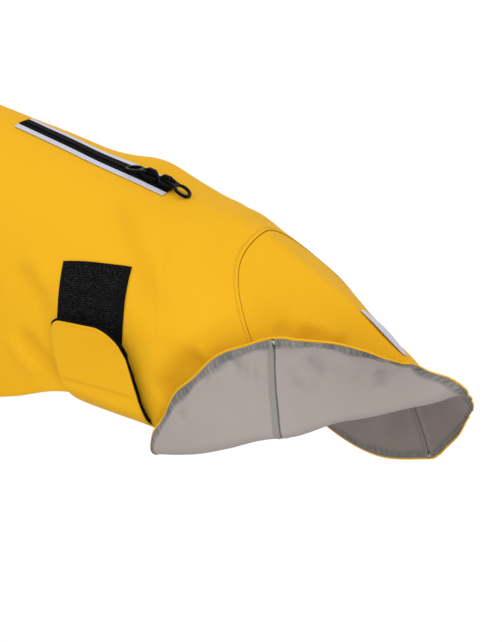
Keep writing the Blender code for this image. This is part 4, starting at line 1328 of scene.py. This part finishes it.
def makeStitching():
    threads = {name: bmesh.new() for name in ("yellow", "grey", "black", "pale")}
    points, normals = linings["rumpLining"]
    for column, beside in ((0, barTack["along"]), (-1, -1 - barTack["along"])):
        corner = points[0, column]
        layBarTack(threads["pale"], corner, points[0, beside] - corner, normals[0, column])
    lines = [("yellow", shells["backShell"], "last", seamFinish["grooveAt"], seamStitch)]
    for panel, end in (("back", "first"), ("rump", "last")):
        lines += [("yellow", shells[panel + "Shell"], edge, hem["stitchIn"], cottonStitch)
                  for edge in ("near", "far")]
        lines += [("grey", linings[panel + "Lining"], edge, liningStitch["inset"], liningStitch)
                  for edge in ("near", "far", end)]
    lines.append(("yellow", shells["rumpShell"], "last", hem["stitchIn"], cottonStitch))
    lines += [("yellow", (strapPoints, strapNormals), edge, strap["stitchIn"], tightStitch)
              for edge in ("near", "far", "last")]
    lifted = patchPoints + patchNormals * (patch["low"] + patch["wall"] + 0.1)
    lines += [("black", (lifted, patchNormals), edge, inset, tightStitch)
              for edge, inset in patch["stitchLines"]]
    for thread, (points, normals), edge, inset, stitch in lines:
        laySeamStitches(threads[thread], *offsetLine(points, normals, edge, inset), stitch)
    line, up = offsetLine(strapPoints, strapNormals, "first", strapFoot)
    laySeamStitches(threads["yellow"], line[2:-2], up[2:-2], tightStitch)
    laySeamStitches(threads["yellow"], *zipBox(), cottonStitch)
    for thread, name, finish, slot in (("yellow", "yellowStitching", yellowThread, "yellow_shell"),
                                       ("grey", "greyStitching", greyThread, "grey_lining"),
                                       ("black", "blackStitching", blackThread, "hook_and_loop"),
                                       ("pale", "barTacks", paleThread, "grey_lining")):
        print(name, len(threads[thread].faces), "faces")
        pieceFrom(threads[thread], name, finish)


makeStitching()
print("stitching laid")

studio = dict(azimuth=30.0, elevation=20.5, distance=1.250, lens=105.0, target=(0.1110, -0.0043, -0.09075),
              floorDrop=0.60, floorHalf=14.0, floorGrey=0.64, floorBright=1.02, world=1.03,
              lamps=[("keyLight", (-0.45, -0.95, 1.05), 0.8, 4.0),
                     ("fillLight", (0.85, -1.10, -0.08), 0.9, 5.4),
                     ("topLight", (0.15, 0.35, 1.25), 1.0, 1.0)])


def makePaper():
    # pale paper: overexposed to the lens, softer in the light that it gives back
    f = Finish("palePaper")
    back = f.node("ShaderNodeBsdfDiffuse", None, (studio["floorGrey"],) * 3)
    bright = f.node("ShaderNodeEmission", None, (1, 1, 1), studio["floorBright"])
    seen = f.node("ShaderNodeLightPath")
    both = f.node("ShaderNodeMixShader", None, seen, back, bright)
    return f.node("ShaderNodeOutputMaterial", None, both)


def makeStudio():
    scene = bpy.context.scene
    target = Vector(studio["target"])
    azimuth, elevation = math.radians(studio["azimuth"]), math.radians(studio["elevation"])
    level = math.cos(elevation)
    away = Vector((math.sin(azimuth) * level, -math.cos(azimuth) * level, math.sin(elevation)))
    lens = bpy.data.cameras.new("viewCamera")
    lens.sensor_fit, lens.sensor_height, lens.sensor_width = "VERTICAL", 36.0, 36.0
    lens.lens, lens.clip_start, lens.clip_end = studio["lens"], 0.05, 50.0
    camera = bpy.data.objects.new("viewCamera", lens)
    camera.location = target + away * studio["distance"]
    camera.rotation_euler = (-away).to_track_quat("-Z", "Y").to_euler()
    scene.collection.objects.link(camera)
    scene.camera = camera
    low = cadBox[0][2] - studio["floorDrop"]
    work = bmesh.new()
    bmesh.ops.create_grid(work, x_segments=1, y_segments=1, size=studio["floorHalf"],
                          matrix=Matrix.Translation((0, 0, low)))
    mesh = meshFrom(work, "floor")
    mesh.materials.append(makePaper())
    floor = bpy.data.objects.new("floor", mesh)
    scene.collection.objects.link(floor)
    world = bpy.data.worlds.new("softRoom")
    scene.world = world
    world.use_nodes = True
    sky = world.node_tree.nodes["Background"].inputs
    sky[0].default_value, sky[1].default_value = (1, 1, 1, 1), studio["world"]
    for name, spot, size, power in studio["lamps"]:
        lamp = bpy.data.lights.new(name, "AREA")
        lamp.shape, lamp.size, lamp.energy = "DISK", size, power
        light = bpy.data.objects.new(name, lamp)
        light.location = Vector(spot)
        light.rotation_euler = (target - Vector(spot)).to_track_quat("-Z", "Y").to_euler()
        scene.collection.objects.link(light)
    scene.view_settings.view_transform = "Standard"
    scene.view_settings.look = "None"


makeStudio()
